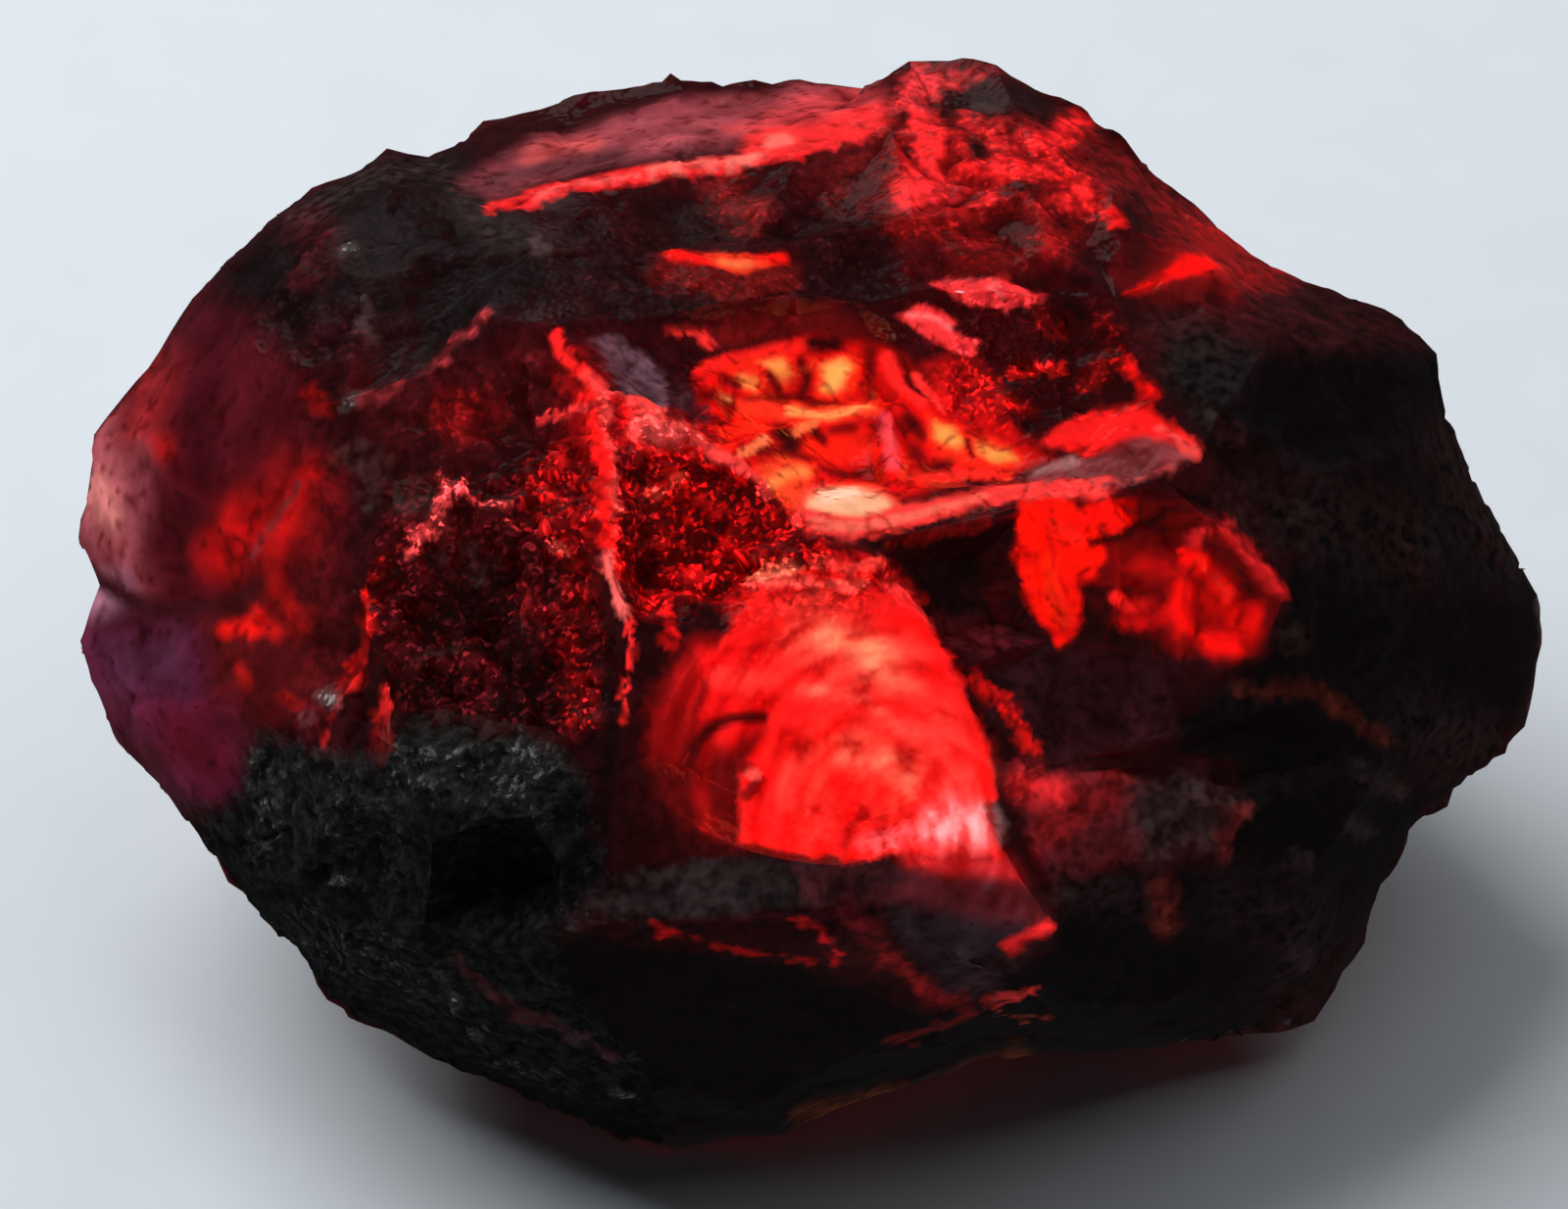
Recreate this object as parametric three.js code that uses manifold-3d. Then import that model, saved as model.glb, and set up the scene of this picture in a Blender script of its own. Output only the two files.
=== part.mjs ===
// Rough painite: one broken, deep red, see-through crystal about 15 mm long, with no matrix and no holder.
//
// The crystal is worked in a "face frame", in millimetres: u runs along its length, v runs up its main
// broken face, and w points straight out of that face. At the end the whole stone leans back by FACE_LEAN,
// so that it lies on its resting facet with +Z up.
//
// Its skin is a net of broken facets. CORNERS holds the points where the ridges meet, and FACETS walks round
// each facet from corner to corner, counter-clockwise as seen from outside. Every ridge between two corners
// is cut into short, slightly uneven steps, which both of its facets share, and each facet is then filled
// with rings that shrink towards its heart: flat, hollowed like a shell, rippled or grainy as the break was.

import * as THREE from "three";
import { mergeVertices } from "three/addons/utils/BufferGeometryUtils.js";
import Module from "manifold-3d";

const wasm = await Module();
wasm.setup();

// ---------------------------------------------------------------- driving dimensions, in millimetres

const FACE_LEAN = THREE.MathUtils.degToRad(45); // how far the main face leans back from upright
const REST_DEPTH = 4.4; // from the face frame's origin straight down to the resting facet
const SLAB = 40; // side of the block that the resting facet is cut with: larger than the stone
const RIDGE_STEP = 0.4; // length of one step of a ridge
const RIDGE_WANDER = 0.035; // how far a ridge's steps stray from its straight line
const RING_STEP = 0.45; // width of the rings of a hollowed facet
const FLAT_REACH = 0.84; // share of a facet inside the uneven strip along its rim
const FLATTEN = 8; // how fast the rim's unevenness dies out towards the heart, as a power
const SETTLE_ROUNDS = 8; // how often the corners are eased towards flat facets
const SETTLE_PULL = 0.5; // share of the way that a corner is eased in one round
const SETTLE_LIMIT = 0.08; // farthest pull that one facet may ask for
const STEEPEST = 0.2; // facets turned farther aside than this (cosine) don't pull

// Corners [u, v, w] of the ridges.
const CORNERS = {
  // outline of the stone, clockwise from the notch at its left end
  s1: [-7.0, 0.2, -0.6], s2: [-7.25, 0.7, -0.7], s3: [-7.1, 1.75, -0.8], s4: [-6.55, 2.45, -0.9],
  s5: [-5.85, 3.5, -1.1], s6: [-5.0, 4.2, -1.3], s7: [-4.1, 4.7, -1.5], s8: [-3.6, 4.55, -1.5],
  s9: [-3.1, 5.0, -2.2], s10: [-2.0, 5.35, -2.4], s11: [-0.3, 5.45, -2.5], s12: [0.85, 5.35, -2.4],
  s13: [1.3, 5.65, -2.4], s14: [2.2, 5.58, -2.2], s15: [2.85, 5.25, -1.8], s16: [3.6, 4.62, -1.5],
  s17: [4.5, 3.85, -1.4], s18: [5.05, 3.5, -1.4], s19: [6.35, 2.95, -1.3], s20: [6.75, 2.6, -1.2],
  s21: [6.8, 1.95, -1.1], s22: [7.3, 1.05, -1.3], s23: [7.8, 0.1, -1.4], s24: [7.82, -0.4, -1.4],
  s25: [7.62, -1.25, -1.2], s26: [7.2, -1.65, -1.1], s27: [6.5, -2.1, -0.9], s28: [6.1, -3.0, -1.0],
  s29: [5.85, -3.65, -1.1], s30: [5.4, -4.2, -1.1], s31: [4.4, -4.5, -1.0], s32: [3.0, -4.62, -0.7],
  s33: [2.0, -4.68, -0.5], s34: [1.0, -5.02, -0.4], s35: [0.0, -5.4, -0.4], s36: [-1.1, -5.55, -0.4],
  s37: [-2.0, -5.35, -0.4], s38: [-3.3, -4.82, -0.5], s39: [-4.5, -4.12, -0.5], s40: [-5.3, -3.32, -0.4],
  s41: [-6.0, -2.35, -0.5], s42: [-6.9, -1.35, -0.6], s43: [-7.25, -0.45, -0.7],

  // upper left lobe
  l1: [-6.55, 0.15, 0.3], l2: [-6.3, 1.3, 0.6], l3: [-6.0, 2.4, 0.4], l4: [-5.3, 0.55, 1.6],
  l5: [-4.7, 1.3, 2.3], l6: [-4.85, 2.05, 1.9], l7: [-5.4, 2.7, 1.1], l8: [-5.7, 0.0, 0.8],
  // lower left lobe
  m1: [-6.5, -0.7, 0.5], m2: [-5.8, -1.0, 1.3], m3: [-5.9, -1.9, 0.7], m4: [-5.2, -1.2, 1.9],
  m5: [-5.2, -1.9, 1.6], m6: [-4.9, -0.3, 1.9], m7: [-4.45, -1.0, 2.7], m8: [-5.5, -2.5, 0.9],
  // dark knob above the left lobes
  k1: [-5.0, 3.3, 0.9], k2: [-4.3, 2.75, 1.7], k3: [-3.7, 3.5, 1.3], k4: [-4.4, 2.05, 2.3],
  k5: [-3.55, 2.3, 2.5], k6: [-3.0, 2.9, 2.2], k7: [-3.45, 4.3, -0.2], k8: [-3.0, 4.02, 0.4],
  k9: [-2.5, 3.6, 1.2], k10: [-4.1, 4.15, 0.2], k11: [-4.95, 3.95, -0.2],

  // bright lip along the top of the broken face, and its rear edge
  t2: [-2.0, 4.3, 0.0], t3: [-0.9, 4.5, -0.3], t4: [0.2, 4.6, -0.5], t5: [1.1, 4.85, -0.8],
  u1: [-2.9, 4.2, 0.0], u2: [-1.0, 4.8, -0.8], u3: [0.4, 5.05, -1.1], u4: [1.3, 5.15, -1.4],
  // brow under the lip
  d1: [-1.6, 3.4, 1.5], d2: [-0.4, 3.6, 1.0], d3: [1.3, 3.9, 0.7],
  // rugged shoulder at the top right
  e1: [1.7, 4.85, -0.6], e2: [2.4, 5.0, -1.0], e3: [3.35, 4.22, -0.1], e4: [2.5, 4.2, 0.3],
  e5: [3.4, 3.75, 0.3], e6: [2.7, 3.6, 0.8], e7: [3.35, 3.1, 1.2], e8: [4.4, 3.45, 0.5],
  e9: [3.5, 2.55, 1.8], e10: [2.5, 3.15, 1.5], e11: [1.5, 3.2, 1.5], e12: [2.1, 3.35, 1.1],

  // bent ridge down the middle
  y1: [-2.3, 2.8, 2.4], y2: [-1.95, 2.4, 2.8], y3: [-1.25, 1.95, 3.1], y4: [-0.6, 1.55, 3.25],
  y5: [-2.0, 1.9, 3.1], y6: [-1.75, 1.45, 3.4], y7: [-1.8, 0.9, 3.7], y8: [-1.7, 0.3, 4.0],
  y9: [-1.5, -0.15, 4.2], y10: [-1.6, -1.15, 4.3], y11: [-1.75, -2.6, 4.15],
  // grainy pocket left of it
  p1: [-3.3, 1.15, 3.1], p2: [-4.1, 0.6, 2.8], p3: [-4.2, 0.1, 2.8], p4: [-3.95, -0.6, 3.1],
  p5: [-3.9, -1.4, 3.3], p6: [-2.5, 0.7, 3.5], p7: [-2.7, -1.2, 3.9],

  // basin in the upper middle: rim and floor
  n1: [-1.2, 2.9, 2.0], n2: [-0.6, 2.3, 1.9], n3: [0.4, 2.65, 1.3], n4: [1.3, 2.7, 1.3],
  n5: [0.2, 1.85, 1.9], n6: [1.7, 1.9, 1.6], n7: [1.05, 1.95, 1.9], n8: [2.7, 2.3, 1.5],
  b2: [-0.3, 3.1, 1.7], b3: [0.7, 3.05, 1.6],
  // ledge below the basin: front edge g, rear edge h
  g1: [0.2, 0.8, 3.4], g2: [1.1, 0.7, 3.3], g3: [1.8, 0.82, 3.15], g4: [2.4, 0.95, 3.0],
  g5: [3.2, 1.1, 2.8], g6: [3.75, 1.25, 2.6], r5: [4.15, 1.5, 2.35],
  h1: [0.3, 1.15, 2.9], h2: [1.1, 1.15, 2.6], h3: [2.1, 1.15, 2.5], h4: [2.9, 1.4, 2.3], h5: [3.7, 2.05, 1.9],

  // shell-shaped break in the middle
  f1: [-0.6, -0.3, 3.95], f2: [-1.1, -0.9, 4.1], f3: [-1.35, -1.5, 4.15], f4: [-1.0, -2.1, 4.1],
  f5: [-0.4, -2.42, 4.1], f6: [0.5, -2.6, 4.0], f7: [1.2, -2.45, 3.8], f8: [1.95, -1.98, 3.45],
  f9: [2.12, -1.7, 3.35], f10: [2.0, -1.2, 3.4], f11: [1.65, -0.6, 3.5], f12: [1.2, -0.05, 3.6],
  f13: [0.6, 0.15, 3.7], q1: [0.0, 0.35, 3.5], q2: [0.85, 0.3, 3.5],

  // wedge and windows under the ledge
  x2: [2.4, 0.2, 2.6], x3: [2.65, -0.35, 2.7], x4: [2.35, -0.85, 2.9], x6: [3.35, 0.35, 2.7],
  x7: [3.2, -0.4, 2.8], x8: [3.95, 0.3, 2.5], x9: [4.3, 0.8, 2.5], x10: [5.0, 0.1, 2.2],
  x11: [4.7, -0.55, 2.4], x12: [3.95, -0.6, 2.6], x13: [3.6, -1.35, 2.8], x15: [6.1, -1.5, 1.2],
  x16: [5.0, -1.0, 2.2],
  // grey-red facet right of the shell
  z1: [2.6, -1.6, 3.1], z2: [4.6, -2.05, 2.3], z3: [4.4, -2.65, 2.1], z4: [3.4, -2.7, 2.6],
  z5: [2.75, -2.95, 3.0], z6: [3.9, -3.3, 1.9], z7: [5.3, -2.8, 1.3], z8: [5.1, -3.5, 0.7],
  z9: [2.35, -1.95, 3.1],

  // dark right end
  r2: [5.8, 2.65, 0.3], r3: [6.4, 2.3, -0.1], r4: [4.4, 2.0, 2.1], r6: [5.4, 1.3, 1.7],
  r7: [6.3, 1.6, 0.6],
  r8: [6.6, 0.3, 0.6], r10: [6.9, -1.0, 0.0], r11: [5.3, -0.25, 1.9], r12: [6.0, -0.6, 1.3],
  r14: [4.9, 2.6, 1.2],

  // dark crust and round cavity at the lower left
  c1: [-2.0, -1.9, 4.15], c2: [-2.6, -1.7, 3.9], c3: [-3.4, -1.6, 3.6], c4: [-4.3, -1.9, 2.9],
  c5: [-3.5, -2.4, 3.4], c6: [-3.6, -3.2, 2.8], c8: [-4.9, -2.7, 1.7], c9: [-4.4, -3.3, 1.7],
  c10: [-3.2, -4.0, 1.9], c11: [-2.2, -4.4, 2.1], c12: [-1.8, -4.9, 1.3],
  a1: [-3.0, -2.1, 3.8], a2: [-2.5, -2.1, 3.95], a3: [-2.15, -2.6, 4.0], a4: [-2.8, -3.4, 3.2],
  // grey facet under the shell, and the black faces below it
  v1: [-2.2, -3.1, 3.75], v2: [-1.2, -3.12, 3.95], v3: [0.3, -3.05, 3.95], v4: [1.3, -3.3, 3.6],
  v5: [2.65, -3.2, 3.0], v6: [2.15, -2.35, 3.35],
  w1: [-1.9, -4.0, 2.8], w2: [-1.4, -4.8, 1.6], w3: [-0.3, -5.1, 1.0], w4: [0.6, -4.6, 1.7],
  w5: [1.6, -4.15, 2.1], w6: [2.4, -3.85, 2.1], w7: [0.7, -3.5, 3.3], w8: [3.6, -4.1, 1.1],
  w9: [-0.5, -3.5, 3.4],

  // rear side
  o1: [-5.7, 0.8, -3.0], o2: [-5.1, -1.5, -2.8], o3: [-4.1, 2.9, -3.6], o4: [-2.6, -3.8, -2.9],
  o5: [0.2, -4.6, -2.6], o6: [3.2, -3.7, -3.1], o7: [5.4, -1.6, -3.3], o8: [6.2, 0.8, -3.4],
  o9: [4.3, 2.6, -4.0], o10: [1.4, 4.0, -4.4], o11: [-1.6, 4.2, -4.2], o12: [-2.4, 1.6, -5.0],
  o13: [1.6, 1.6, -5.3], o14: [2.4, -1.4, -4.9], o15: [-1.8, -1.2, -4.7],
};

// Facets: a walk round the corners, and how the break is formed. `dish` hollows the middle (below 0 it
// swells), `ribs` is a number of ripples, each `rib` high, `grain` is unevenness, and `heart` moves the
// middle by [u, v].
const FACETS = [
  // upper left lobe
  ["s2 s1 l1 l2 s3", { dish: -0.12 }],
  ["s3 l2 l3 s4", { dish: -0.1 }],
  ["l1 l8 l4 l2", {}],
  ["l2 l4 l5 l6 l7 l3", {}],
  ["l3 l7 k1 s5 s4", { dish: -0.08 }],
  ["l7 l6 k4 k2 k1", {}],
  ["l8 m6 p3 l4", {}],
  ["l4 p3 p2 l5", {}],
  // lower left lobe
  ["s43 m1 l8 l1 s1", {}],
  ["s43 s42 m3 m2 m1", { dish: -0.12 }],
  ["s42 s41 m8 m3", { dish: -0.05 }],
  ["m1 m2 m6 l8", {}],
  ["m2 m4 m7 m6", {}],
  ["m2 m3 m5 m4", {}],
  ["m3 m8 m5", {}],
  ["m6 m7 p4 p3", { dish: 0.15 }],
  // knob
  ["s8 k7 k8 u1 s9", {}],
  ["k10 k7 s8 s7", {}],
  ["k11 k10 s7 s6", {}],
  ["k1 k11 s6 s5", { dish: -0.08 }],
  ["k1 k2 k3 k10 k11", { dish: -0.1, grain: 0.04 }],
  ["k3 k9 k8 k7 k10", {}],
  ["k2 k4 k5 k6 k9 k3", { dish: 0.12, grain: 0.04 }],
  // lip and brow
  ["k8 t2 t3 u2 u1", {}],
  ["t3 t4 t5 u4 u3 u2", {}],
  ["u1 u2 u3 s12 s11 s10 s9", {}],
  ["u3 u4 s13 s12", {}],
  ["k9 d1 t2 k8", {}],
  ["d1 d2 t4 t3 t2", { dish: 0.18 }],
  ["d2 d3 t5 t4", { dish: 0.2 }],
  ["k6 y1 n1 d1 k9", {}],
  ["n1 b2 d2 d1", {}],
  ["b2 b3 e11 e12 d3 d2", { dish: 0.2 }],
  // rugged shoulder
  ["u4 t5 e1 e2 s14 s13", { dish: 0.1, grain: 0.05 }],
  ["t5 d3 e4 e1", { dish: 0.12, grain: 0.09 }],
  ["e1 e4 e3 e2", { grain: 0.09 }],
  ["e2 e3 s16 s15 s14", {}],
  ["d3 e12 e6 e4", { dish: 0.12, grain: 0.07 }],
  ["e12 e10 e7 e6", { dish: 0.15 }],
  ["e11 e10 e12", {}],
  ["e4 e6 e7 e5 e3", { dish: 0.1, grain: 0.05 }],
  ["e3 e5 e8 s18 s17 s16", {}],
  ["e5 e7 e8", {}],
  // between knob and pocket
  ["l6 l5 p1 k5 k4", {}],
  ["l5 p2 p1", {}],
  ["k5 p1 p6 y7 y6 y5 y2 y1 k6", { dish: 0.3, grain: 0.06 }],
  // pocket
  ["p1 p2 p3 p4 p5 c3 p7 p6", { dish: 0.45, grain: 0.09 }],
  ["c3 c2 p7", {}],
  ["p6 p7 y10 y9 y8 y7", { dish: 0.25, grain: 0.06 }],
  ["m7 p5 p4", {}],
  // bent ridge and the sparkling break beside it
  ["y2 y5 y6 y4 y3", {}],
  ["y4 y6 y7 y8 y9 f1 q1 g1", { dish: 0.4, grain: 0.1 }],
  ["y9 y10 f3 f2 f1", {}],
  ["q1 f1 f13 q2", {}],
  ["q2 f13 f12", {}],
  ["g1 q1 q2 g2", {}],
  // basin
  ["y1 y2 y3 n2 n1", { dish: 0.15 }],
  ["y3 y4 n5 n2", { dish: 0.15 }],
  ["y4 g1 h1 n5", {}],
  ["n5 h1 h2 n7", { dish: 0.2 }],
  ["n7 h2 h3 n6", { dish: 0.2 }],
  ["n6 h3 h4 n8", { dish: 0.15 }],
  ["n8 h4 h5 e9", { dish: 0.15 }],
  ["n2 n5 n7 n3", { dish: 0.25 }],
  ["n1 n2 n3 b3 b2", { dish: 0.15 }],
  ["n3 n7 n6 n4 b3", { dish: 0.2 }],
  ["n4 n6 n8 e10 e11", { dish: 0.3, grain: 0.06 }],
  ["b3 n4 e11", {}],
  ["n8 e9 e7 e10", { dish: 0.15 }],
  // ledge
  ["h1 g1 g2 h2", { dish: -0.08 }],
  ["h2 g2 g3 h3", {}],
  ["h3 g3 g4 g5 h4", {}],
  ["h4 g5 g6 r5 h5", {}],
  // shell-shaped break
  ["f13 f1 f2 f3 f4 f5 f6 f7 f8 f9 f10 f11 f12", { dish: 0.55, ribs: 4, rib: 0.04, heart: [0.3, -0.55] }],
  // wedge and windows
  ["g2 q2 f12 f11 x3 x2 g4 g3", { dish: 0.55 }],
  ["f11 f10 x4 x3", { dish: 0.15 }],
  ["f10 f9 z1 x4", {}],
  ["g4 x2 x3 x7 x6 g5", { dish: 0.25, ribs: 1, rib: 0.04 }],
  ["g5 x6 x8 x9 g6", { dish: 0.2, grain: 0.06 }],
  ["x6 x7 x12 x8", { dish: 0.15, grain: 0.05 }],
  ["x9 x8 x12 x11 x10", { dish: 0.25, ribs: 1, rib: 0.04 }],
  ["x3 x4 z1 x13 x7", { dish: 0.15 }],
  ["x7 x13 x16 x11 x12", {}],
  ["x13 z1 z2 x15 x16", { dish: 0.15 }],
  ["x11 x16 x15 r12 r11", {}],
  ["x10 x11 r11", {}],
  // grey-red facet and what surrounds it
  ["f8 v6 v5 z5 z9", { dish: 0.15 }],
  ["f9 f8 z9 z1", {}],
  ["z1 z9 z5 z4 z3 z2", {}],
  ["z5 z6 z3 z4", {}],
  ["z3 z6 z7 z2", {}],
  ["z2 z7 x15", {}],
  ["v5 w6 w8 z6 z5", {}],
  ["w6 s32 s31 w8", { dish: -0.05 }],
  ["w8 s31 s30 z8", { dish: -0.05 }],
  ["z6 w8 z8 z7", {}],
  ["z8 s30 s29 s28 z7", { dish: -0.1 }],
  ["z7 s28 s27 x15", {}],
  // dark right end
  ["r5 g6 x9 x10 r11 r6 r4", { dish: 0.2 }],
  ["r6 r11 r12 r8 r7", {}],
  ["r12 x15 r10 r8", {}],
  ["x15 s27 s26 r10", {}],
  ["r10 s26 s25 s24", {}],
  ["r8 r10 s24 s23", {}],
  ["r7 r8 s23 s22", {}],
  ["r3 r7 s22 s21 s20", {}],
  ["r4 r6 r7 r3 r2 r14", { dish: 0.15 }],
  ["r2 r3 s20 s19", {}],
  ["r14 r2 s19 s18 e8", {}],
  ["e9 r4 r14 e8 e7", {}],
  ["h5 r5 r4 e9", {}],
  // crust
  ["m4 m5 c4 m7", { grain: 0.05 }],
  ["m7 c4 p5", {}],
  ["p5 c4 c5 c3", { grain: 0.05 }],
  ["c5 c6 a4 v1 a3 a2 a1", { dish: 0.75, grain: 0.05 }],
  ["c3 c5 a1 c2", { grain: 0.05 }],
  ["c2 a1 a2 c1", {}],
  ["c1 a2 a3 y11", {}],
  ["p7 c2 c1 y10", {}],
  ["y10 c1 y11 f4 f3", {}],
  ["y11 a3 v1", {}],
  ["m5 m8 c8 c4", { grain: 0.05 }],
  ["m8 s41 s40 c8", { dish: -0.06 }],
  ["c4 c8 c9 c6 c5", { dish: 0.3, grain: 0.06 }],
  ["c8 s40 s39 c9", { dish: -0.05 }],
  ["c9 s39 s38 c10", {}],
  ["c6 c9 c10 a4", { grain: 0.05 }],
  ["a4 c10 c11 w1", {}],
  ["v1 a4 w1 w9 v2", {}],
  ["c10 s38 s37 c12 c11", {}],
  ["w1 c11 c12 w2", {}],
  ["c12 s37 s36 w2", {}],
  // grey facet and black faces
  ["f4 y11 v1 v2 v3 f6 f5", {}],
  ["f6 v3 v4 v5 v6 f8 f7", {}],
  ["w9 w1 w2 w3 w4 w5 w7", {}],
  ["w2 s36 s35 w3", {}],
  ["w3 s35 s34 w4", {}],
  ["w4 s34 s33 w5", {}],
  ["w5 s33 s32 w6", {}],
  ["v2 w9 w7 v3", {}],
  ["v3 w7 w5 w6 v4", {}],
  ["v4 w6 v5", {}],
  // rear side
  ["s43 s1 s2 o1 o2", { dish: -0.1 }],
  ["s2 s3 s4 o3 o1", { dish: -0.08 }],
  ["s4 s5 s6 o3", {}],
  ["s6 s7 s8 s9 o11 o3", {}],
  ["s9 s10 s11 s12 o10 o11", { dish: -0.08 }],
  ["s12 s13 s14 s15 o10", {}],
  ["s15 s16 s17 o9 o10", {}],
  ["s17 s18 s19 s20 o8 o9", { dish: 0.15 }],
  ["s20 s21 s22 o8", {}],
  ["s22 s23 s24 o7 o8", { dish: -0.08 }],
  ["s24 s25 s26 s27 o7", {}],
  ["s27 s28 s29 o6 o7", { dish: 0.15 }],
  ["s29 s30 s31 s32 o6", {}],
  ["s32 s33 s34 o5 o6", { dish: -0.06 }],
  ["s34 s35 s36 o5", {}],
  ["s36 s37 s38 o4 o5", { dish: -0.06 }],
  ["s38 s39 s40 o4", {}],
  ["s40 s41 o2 o4", {}],
  ["s41 s42 s43 o2", {}],
  ["o1 o3 o12 o15 o2", { dish: 0.35, ribs: 3, rib: 0.04 }],
  ["o3 o11 o12", {}],
  ["o11 o10 o13 o12", { dish: 0.15 }],
  ["o10 o9 o13", {}],
  ["o9 o8 o7 o14 o13", { dish: 0.3, ribs: 2, rib: 0.04 }],
  ["o7 o6 o14", {}],
  ["o6 o5 o4 o15 o14", {}],
  ["o4 o2 o15", {}],
  ["o12 o13 o14 o15", { dish: -0.15 }],
];

// ---------------------------------------------------------------- ridges and facets

// A repeatable value from -1 to 1 for a place in the stone.
function chance(p, salt) {
  const s = Math.sin(p.x * 127.1 + p.y * 311.7 + p.z * 74.7 + salt * 19.19) * 43758.5453;
  return 2 * (s - Math.floor(s)) - 1;
}

const stray = (p) => new THREE.Vector3(chance(p, 1), chance(p, 2), chance(p, 3));

const corners = {};
for (const [name, place] of Object.entries(CORNERS)) corners[name] = new THREE.Vector3(...place);

// The middle of a closed walk of points and the direction it faces.
function planeOf(walk) {
  const middle = walk.reduce((sum, p) => sum.add(p), new THREE.Vector3()).divideScalar(walk.length);
  const out = new THREE.Vector3();
  walk.forEach((p, k) => {
    const next = walk[(k + 1) % walk.length];
    out.add(p.clone().sub(middle).cross(next.clone().sub(middle)));
  });
  return { middle, out: out.normalize() };
}

// Eases the corners along w until each facet is about as flat as its neighbours allow.
function settle() {
  for (let round = 0; round < SETTLE_ROUNDS; round++) {
    const pulls = {};
    for (const name in corners) pulls[name] = [];
    for (const [walk] of FACETS) {
      const names = walk.split(" ");
      const { middle, out } = planeOf(names.map((name) => corners[name]));
      if (Math.abs(out.z) < STEEPEST) continue;
      for (const name of names) {
        const gap = middle.clone().sub(corners[name]).dot(out) / out.z;
        pulls[name].push(THREE.MathUtils.clamp(gap, -SETTLE_LIMIT, SETTLE_LIMIT));
      }
    }
    for (const name in corners) {
      if (pulls[name].length === 0) continue;
      const mean = pulls[name].reduce((sum, gap) => sum + gap, 0) / pulls[name].length;
      corners[name].z += SETTLE_PULL * mean;
    }
  }
}

// The steps of the ridge from corner a to corner b, without b. Both of its facets get the same points.
const ridges = new Map();
function ridge(a, b) {
  const [from, to] = a < b ? [a, b] : [b, a];
  const key = `${from} ${to}`;
  if (!ridges.has(key)) {
    const start = corners[from];
    const end = corners[to];
    const count = Math.max(1, Math.round(start.distanceTo(end) / RIDGE_STEP));
    const points = [start];
    for (let k = 1; k < count; k++) {
      const p = start.clone().lerp(end, k / count);
      points.push(p.add(stray(p).multiplyScalar(RIDGE_WANDER)));
    }
    ridges.set(key, [...points, end]);
  }
  const points = ridges.get(key);
  return (from === a ? points : points.toReversed()).slice(0, -1);
}

// One facet's triangles, as a flat list of points: rings that shrink from its rim to its heart.
function facet([walk, { dish = 0, ribs = 0, rib = 0, grain = 0, heart = [0, 0] }]) {
  const names = walk.split(" ");
  const rim = names.flatMap((name, k) => ridge(name, names[(k + 1) % names.length]));

  const { middle, out } = planeOf(rim);
  const reach = rim.reduce((sum, p) => sum + p.distanceTo(middle), 0) / rim.length;
  const centre = middle.clone().add(new THREE.Vector3(heart[0], heart[1], 0).projectOnPlane(out));

  const plain = !dish && !ribs && !grain;
  const steps = plain ? 1 : Math.max(ribs * 2, Math.round(reach / RING_STEP), 2);
  const radii = plain ? [FLAT_REACH] : Array.from({ length: steps - 1 }, (_, k) => 1 - (k + 1) / steps);
  const rings = [rim];
  radii.forEach((r, k) => {
    const depth = dish * (1 - r * r) + (ribs && k % 2 ? rib : 0);
    rings.push(
      rim.map((p) => {
        const height = p.clone().sub(middle).dot(out);
        const flat = p.clone().addScaledVector(out, -height);
        const q = centre.clone().lerp(flat, r);
        return q.addScaledVector(out, height * r ** FLATTEN - depth + grain * chance(q, 5));
      }),
    );
  });
  const tip = centre.clone().addScaledVector(out, -dish);

  const triangles = [];
  for (let k = 0; k < rings.length; k++) {
    const outer = rings[k];
    const inner = rings[k + 1];
    outer.forEach((a, i) => {
      const j = (i + 1) % outer.length;
      if (inner) triangles.push(a, outer[j], inner[j], a, inner[j], inner[i]);
      else triangles.push(a, outer[j], tip);
    });
  }
  return triangles;
}

// ---------------------------------------------------------------- solids

// A closed geometry as a manifold-3d solid.
function solidOf(geometry) {
  const bare = geometry.clone();
  bare.deleteAttribute("normal");
  bare.deleteAttribute("uv");
  const merged = mergeVertices(bare, 1e-5);
  return new wasm.Manifold(
    new wasm.Mesh({
      numProp: 3,
      vertProperties: new Float32Array(merged.attributes.position.array),
      triVerts: new Uint32Array(merged.index.array),
    }),
  );
}

function geometryOf(solid) {
  const { vertProperties, triVerts } = solid.getMesh();
  const geometry = new THREE.BufferGeometry();
  geometry.setAttribute("position", new THREE.BufferAttribute(vertProperties, 3));
  geometry.setIndex(new THREE.BufferAttribute(triVerts, 1));
  return geometry;
}

// The block beyond the resting facet, which looks straight down once the stone leans back.
function ground() {
  const block = new THREE.BoxGeometry(SLAB, SLAB, SLAB).translate(0, 0, -SLAB / 2 - REST_DEPTH);
  return solidOf(block.rotateX(-FACE_LEAN));
}

function crystal() {
  settle();
  const skin = new THREE.BufferGeometry().setFromPoints(FACETS.flatMap(facet));
  return solidOf(skin).subtract(ground());
}

// ---------------------------------------------------------------- the specimen

const painite = new THREE.MeshStandardMaterial({ color: 0x5a0a10, roughness: 0.2, metalness: 0 });
const stone = new THREE.Mesh(geometryOf(crystal()), painite);
stone.name = "painite_crystal";
stone.rotation.x = FACE_LEAN;

// The origin is under the stone's middle, on the surface it rests on.
const specimen = new THREE.Group();
specimen.add(stone);
const box = new THREE.Box3().setFromObject(stone, true);
const middle = box.getCenter(new THREE.Vector3());
stone.position.set(-middle.x, -middle.y, -box.min.z);

export default specimen;
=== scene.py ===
"""Rough painite crystal: its fine broken surface, its colours, the light and shade painted on it, and its
studio.

Lengths are in millimetres until a mesh or a light is made, and in metres from there on. The stone's broken
face looks up and towards the viewer. Places on it are given as (u, v): u runs to the right and v up the
leaning face, and w comes out of it.
"""

import math

import bmesh
import bpy
import numpy as np
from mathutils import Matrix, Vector, noise


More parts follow.
